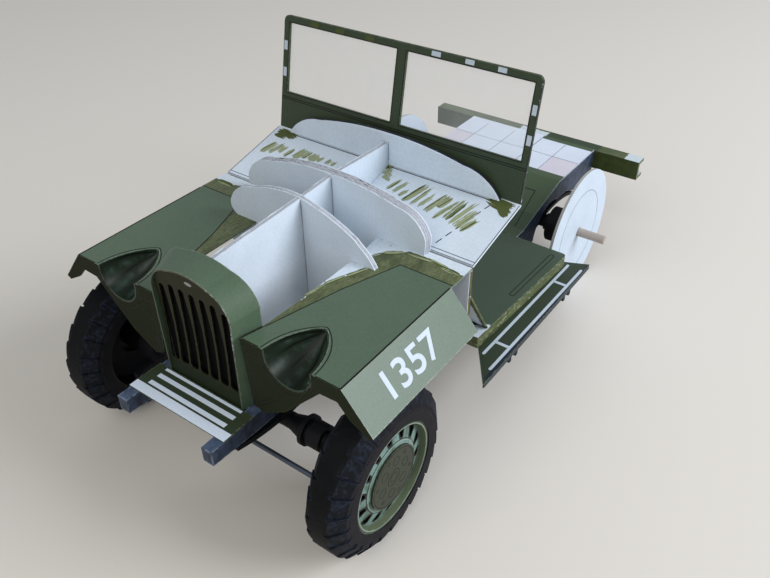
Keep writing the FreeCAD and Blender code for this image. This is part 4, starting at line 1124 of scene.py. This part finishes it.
# Dry ends of the retouching on the wings, where the brush ran onto the bare white
WING_EDGES = [
    ([(10.9, 5.5), (11.5, 11.0)], 0.5), ([(11.4, 10.0), (13.0, 14.4)], 0.7),
    ([(12.8, 13.6), (14.8, 18.4)], 0.8), ([(12.9, 20.6), (14.2, 23.2)], 0.7),
    ([(13.9, 23.0), (17.4, 25.5)], 0.9), ([(17.0, 25.4), (23.0, 25.8)], 1.0),
    ([(20.4, 26.0), (26.8, 25.2)], 0.9), ([(23.8, 25.4), (28.7, 24.8)], 1.0),
    ([(-28.6, 25.2), (-23.4, 25.0)], 1.0), ([(-21.4, 26.2), (-18.6, 27.9)], 0.9),
]


def wing_retouching():
    """Bristle marks along the ragged inner edge of the olive paint."""
    paint = Piece()
    for seed, (path, width) in enumerate(WING_EDGES):
        brush(paint, WING_SHEET, path, width, 200 + seed, 0.35, 0.15)
    paint.make("brush_edges_wings", CHASSIS)


def floor_prints():
    """A long rounded rib printed along each side of the floor."""
    lines = Piece()
    start, end = Vector((26.87, 49.15)), Vector((27.3, 65.95))
    run = (end - start).normalized()
    side = Vector((-run.y, run.x)) * 0.5
    for across in (side, -side):
        draw(lines, FLOOR_SHEET, [start + across, end + across], 0.15, "ink", mirror=True)
    turn = math.degrees(math.atan2(run.y, run.x))
    for center, first in ((end, turn - 90), (start, turn + 90)):
        draw(lines, FLOOR_SHEET, arc_points(center, 0.5, first, first + 180, 8), 0.15, "ink", mirror=True)
    lines.make("printed_lines_floor", CHASSIS)


def step_prints():
    """White rules on the running boards, outside the floor box."""
    bars = Piece()
    for path in ([(32.98, 29.9), (33.47, 68.2)], [(29.83, 33.0), (30.36, 68.4)]):
        draw(bars, STEP_SHEET, path, 0.6, "white_print", round_ends=True, mirror=True)
    for path in ([(30.15, 37.2), (32.8, 37.2)], [(30.5, 61.4), (33.1, 61.4)]):
        draw(bars, STEP_SHEET, path, 0.72, "white_print", mirror=True)
    bars.make("running_board_rules", CHASSIS)


def tail_prints():
    """Grid rules of the rear glue area and seams of the green sheet."""
    lines = Piece()
    for x in (-11.9, -4.0, 10.5):
        draw(lines, TAIL_SHEET, [(x, 91.6), (x, 107.0)], 0.13, "pale_ink")
    draw(lines, TAIL_SHEET, [(-17.4, 99.4), (17.4, 99.4)], 0.13, "pale_ink")
    draw(lines, TAIL_SHEET, [(3.8, 91.6), (3.8, 108.6)], 0.2, "pale_ink")
    draw(lines, SLOPE_SHEET, [(15.2, 71.9), (13.9, 83.8), (-13.9, 83.8), (-15.2, 71.9)], 0.2, "ink")
    lines.make("printed_lines_tail", CHASSIS)


def disc_prints():
    """A fine printed circle on each bare rear disc."""
    for side, sign in (("left", 1), ("right", -1)):
        ring = Piece()
        sheet = Sheet((span("rear_disc_left", 0)[1] * sign, REAR_Y, AXLE_Z), (0, sign, 0), (0, 0, 1))
        ring_print(ring, sheet, 10.1, 0.17, "pale_ink", 0.02)
        ring.make("disc_circle_" + side, "rear_wheel_" + side)


HOLES = 14
HUB_RADIUS = 5.8
FACE_FALL = 0.9 / 3.2          # the wheel face falls in by this much for each mm outwards
HOLE_PATH = [(-0.95, 0.0), (-0.95, 0.42), (0.66, 0.88), (1.02, 0.56), (1.14, 0.0), (1.02, -0.56),
             (0.66, -0.88), (-0.95, -0.42), (-0.95, 0.0)]


def wheel_prints():
    """Rings and small circles printed on the front wheels, pale rings as a painted highlight
    along the rim's edges, a dark outline round each hole, and a black disc behind the holes as painted
    shade inside the wheel."""
    for side, sign in (("left", 1), ("right", -1)):
        face, hub, rim = (Sheet((x * sign, 0, AXLE_Z), (0, sign, 0), (0, 0, 1))
                          for x in (*span("hub_disc_left", 0), span("wheel_left", 0)[1]))
        prints = Piece()
        for radius, width, look in ((5.45, 0.16, "ink"), (1.55, 0.14, "hub_ink"), (0.9, 0.14, "hub_ink")):
            ring_print(prints, hub, radius, width, look, 0.02)
        for k in range(6):
            turn = math.tau * (k + 0.3) / 6
            for reach, size, late in ((3.25, 0.85, 0.0), (4.5, 0.33, 0.52)):
                middle_of = (reach * math.cos(turn + late), reach * math.sin(turn + late))
                circle = arc_points(middle_of, size, 0, 360, 14)
                draw(prints, hub, circle, 0.13, "hub_ink", 0.02)
        cone = (HUB_RADIUS, FACE_FALL)
        # pale ring: a painted highlight along the recess's edge
        ring_print(prints, face, 6.35, 0.14, "rim_light", 0.02, cone=cone)
        ring_print(prints, face, 6.6, 0.12, "hub_ink", 0.02, cone=cone)
        for k in range(HOLES):
            turn = math.tau * k / HOLES + math.pi / 2
            out = Vector((0, sign * math.cos(turn), math.sin(turn)))
            tangent = Vector((0, -sign * math.sin(turn), math.cos(turn)))
            slope = (out - face.normal * FACE_FALL).normalized()
            drop = Sheet(face.origin + (out - face.normal * FACE_FALL) * (7.75 - HUB_RADIUS)
                         + out * HUB_RADIUS, slope, tangent * sign)
            draw(prints, drop, HOLE_PATH, 0.32, "ink", 0.02)
        # pale ring: a painted highlight along the rim
        ring_print(prints, rim, 9.45, 0.12, "rim_light", 0.02)
        ring_print(prints, rim, 9.72, 0.1, "hub_ink", 0.02)
        prints.make("printed_rings_" + side, "front_wheel_" + side)
        # a black disc behind the holes: painted shade inside the wheel
        hole_shade_disc = Piece()
        ring = [(4.0, -2.0), (9.3, -2.0), (9.3, -1.75), (4.0, -1.75)]
        turns = [math.tau * k / 48 for k in range(48)]
        points = [face.to(r * math.cos(a), r * math.sin(a)) + face.normal * deep
                  for a in turns for r, deep in ring]
        hole_shade_disc.solid(points, loop_faces(len(turns), len(ring)), "black_paint")
        hole_shade_disc.make("wheel_hole_shade_" + side, "front_wheel_" + side)


def wing_corners():
    """The wings' white inner edges carried on to the foot of the thick former."""
    corners = Piece()
    foot = span("bonnet_former_rear", 1)[0]
    filler = [(11.0, foot - 6.3), (11.62, foot - 0.02), (10.3, foot - 0.02)]
    fill(corners, WING_SHEET, filler, "bare_card", -0.01, mirror=True)
    corners.make("wing_corners", CHASSIS)


def former_prints():
    """Rows of perforations where the spine meets the cross boards."""
    marks = Piece()
    for node, low, high in (("bonnet_former_front", 23.4, 46.4), ("bonnet_former_rear", 38.8, 47.2),
                            ("cowl_former", 43.4, 47.4)):
        sheet = upright_sheet(span(node, 1)[0])
        count = round((high - low) / 0.42)
        for k in range(count):
            height = low + (high - low) * k / count
            slit = [(0.52, height), (0.52, height + 0.24)]
            draw(marks, sheet, slit, 0.12, "crease_ink", 0.02, mirror=True)
    marks.make("perforations", CHASSIS)


wing_prints()
cover_prints()
number_on_wing()
screen_prints()
deck_prints()
wing_retouching()
floor_prints()
step_prints()
tail_prints()
disc_prints()
wheel_prints()
former_prints()
wing_corners()


# ---------------------------------------------------------------------------
# Boards built up from plies
# ---------------------------------------------------------------------------
def board_outline(node, axis):
    """The largest loop round one flat side of a board, as points without their axis
    coordinate, and the board's two sides along the axis, in millimetres."""
    mesh = NODES[node].data
    corners = [Vector(v.co) / MM - Vector((0, AXLE_Y, 0)) for v in mesh.vertices]
    values = [c[axis] for c in corners]
    low, high = min(values), max(values)
    edges = {}                             # a dictionary keeps the edges in order
    for polygon in mesh.polygons:
        if all(abs(values[i] - low) < 0.02 for i in polygon.vertices):
            names = []
            for i in polygon.vertices:
                names.append(tuple(round(c, 2) for k, c in enumerate(corners[i]) if k != axis))
            for a, b in zip(names, names[1:] + names[:1]):
                if a != b:
                    edges[a, b] = True
    border = {a: b for (a, b) in edges if (b, a) not in edges}
    loops = []
    while border:
        start = next(iter(border))
        loop = [start]
        after = border.pop(start)
        while after != start and after in border:
            loop.append(after)
            after = border.pop(after)
        loops.append(loop)
    return max(loops, key=len), low, high


EASE = 1.3          # how far from a blunt corner its rounding starts, mm
FRAY_STEP = 0.45    # length of the steps in a frayed edge, mm


def eased(loop):
    """The loop with its blunt corners rounded, as the knife went round them; square
    corners stay."""
    points = []
    for i, p in enumerate(loop):
        before, p, after = (Vector(loop[k % len(loop)]) for k in (i - 1, i, i + 1))
        come, go = p - before, after - p
        turn = math.degrees(come.angle(go)) if come.length > 1e-4 and go.length > 1e-4 else 0.0
        if not 14 < turn < 75:
            points.append(p)
            continue
        first = p - come.normalized() * min(EASE, come.length * 0.45)
        last = p + go.normalized() * min(EASE, go.length * 0.45)
        for k in range(5):
            t = k / 4
            points.append(first.lerp(p, t).lerp(p.lerp(last, t), t))
    return points


def frayed(loop, reach, size, seed):
    """The loop cut into short steps, each pushed in or out a little."""
    points = []
    for a, b in zip(loop, loop[1:] + loop[:1]):
        a, b = Vector(a), Vector(b)
        count = max(1, round((b - a).length / FRAY_STEP))
        side = Vector((-(b - a).y, (b - a).x)).normalized()
        for k in range(count):
            p = a.lerp(b, k / count)
            push = noise.noise(Vector((p.x / size, p.y / size, seed * 7.3)))
            push += 0.5 * noise.noise(Vector((p.x * 2.3 / size, p.y * 2.3 / size, seed * 3.7)))
            points.append(p + side * push * reach * (0.0 if k == 0 else 1.0))
    return points


# Each ply as (material, share of the thickness, how far its edge frays in mm)
PLIES_THIN = [("bare_card", 0.16, 0.12), ("pulp_board", 0.34, 0.16), ("pulp_board", 0.34, 0.14),
              ("bare_card", 0.16, 0.1)]
PLIES_THICK = [("bare_card", 0.16, 0.1), ("pulp_board", 0.38, 0.14), ("glue_line", 0.08, 0.1),
               ("pulp_board", 0.4, 0.16), ("glue_line", 0.08, 0.1), ("pulp_board", 0.38, 0.14),
               ("glue_line", 0.08, 0.1), ("pulp_board", 0.32, 0.14), ("bare_card", 0.16, 0.08)]
PLIES_INKED = [("bare_card", 0.35, 0.02), ("inked_board", 0.65, 0.04)]
PLIES_SCUFFED = [("bare_card", 0.12, 0.04), ("scuffed_board", 0.38, 0.1), ("scuffed_board", 0.38, 0.1),
                 ("scuffed_board", 0.12, 0.06)]


def plied_board(node, axis, plies):
    """Stands for a flat CAD board: white paper outside, frayed plies between."""
    loop, low, high = board_outline(node, axis)
    loop = eased(loop)
    normal = Vector([1.0 if k == axis else 0.0 for k in range(3)])
    total = sum(thick for _, thick, _ in plies)
    board = Piece()
    place = low
    for k, (material, thick, reach) in enumerate(plies):
        step = thick * (high - low) / total
        shrink = 0.1 if material == "glue_line" else 0.0
        outline = []
        for p in frayed(loop, reach + shrink, 1.7, k * 0.35 + len(node)):
            values = list(p)
            values.insert(axis, 0.0)
            outline.append(Vector(values))
        board.prism(outline, normal, place, place + step, material)
        place += step
    made = board.make(node + "_plies", CHASSIS)
    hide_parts(node)


for node, axis, plies in (("bonnet_former_rear", 1, PLIES_THICK), ("bonnet_former_front", 1, PLIES_THIN),
                          ("cowl_former", 1, PLIES_INKED), ("bonnet_spine_front", 0, PLIES_THIN),
                          ("bonnet_spine_rear", 0, PLIES_THIN), ("firewall", 1, PLIES_SCUFFED)):
    plied_board(node, axis, plies)


# ---------------------------------------------------------------------------
# Front tyres
# ---------------------------------------------------------------------------
LUGS = 26
# Around one lug: (share of its length, how deep the groove is, how far the lug has sunk, mm)
LUG_STEPS = [(0.0, 0.6, 0.0), (0.085, 0.6, 0.0), (0.1, 0.0, 0.0), (0.4, 0.0, 0.1), (0.7, 0.0, 0.21),
             (0.985, 0.0, 0.33)]
# Across the tyre from its inner side: (x from the middle, radius, share of the groove)
TYRE_SECTION = [
    (-3.9, 9.9, 0.0), (-3.9, 11.6, 0.0), (-3.9, 12.0, 0.8), (-3.9, 12.6, 1.0), (-3.05, 13.8, 1.0),
    (-2.2, 15.0, 1.0), (-1.3, 15.0, 0.0), (1.3, 15.0, 0.0), (2.2, 15.0, 1.0), (3.05, 13.8, 1.0),
    (3.9, 12.6, 1.0), (3.9, 12.0, 0.8), (3.9, 11.6, 0.0), (3.9, 9.9, 0.0),
]


def lugged_tyre(side):
    """A laminated tyre: a smooth tread, and bevelled shoulders cut into flat lugs by hand,
    each lower at one end, with narrow grooves between them."""
    sign = 1 if side == "left" else -1
    center = middle("tyre_left", 0)
    rng = random.Random(side)
    uneven = {half: [rng.uniform(-0.07, 0.07) for _ in range(LUGS)] for half in (-1, 1)}
    points = []
    for lug in range(LUGS):
        deep = rng.uniform(0.75, 1.25)
        for share, groove, sunk in LUG_STEPS:
            for x, radius, part in TYRE_SECTION:
                half = -1 if x < 0 else 1
                nudge = uneven[half][lug] * (1 - share) + uneven[half][(lug + 1) % LUGS] * share
                turn = math.tau * (lug + share + nudge + (0.5 if half < 0 else 0.0)) / LUGS
                cut = (groove * deep + sunk) * part
                out = 0.58 if abs(x) < 3.8 else 0.2
                away = 0.81 if abs(x) < 3.8 else 1.0
                r = radius - cut * out
                points.append(Vector(((center + x - half * cut * away * 0.6) * sign,
                                      r * math.cos(turn), AXLE_Z + r * math.sin(turn))))
    tyre = Piece()
    tyre.solid(points, loop_faces(LUGS * len(LUG_STEPS), len(TYRE_SECTION)), "tyre_paint")
    made = tyre.make("lugged_tyre_" + side, "front_wheel_" + side)
    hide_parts("tyre_" + side)


def skirt_skin(side):
    """The front skirt's skin, a hair thick, in the printed green darkened as painted shade."""
    loop, front, _ = board_outline("wing_" + side, 1)
    skin = Piece()
    skin.prism([Vector((x, front, z)) for x, z in loop], Vector((0, -1, 0)), -0.02, 0.015, "skirt_shaded_print")
    skin.make("skirt_skin_" + side, CHASSIS)


for side in ("left", "right"):
    lugged_tyre(side)
    skirt_skin(side)
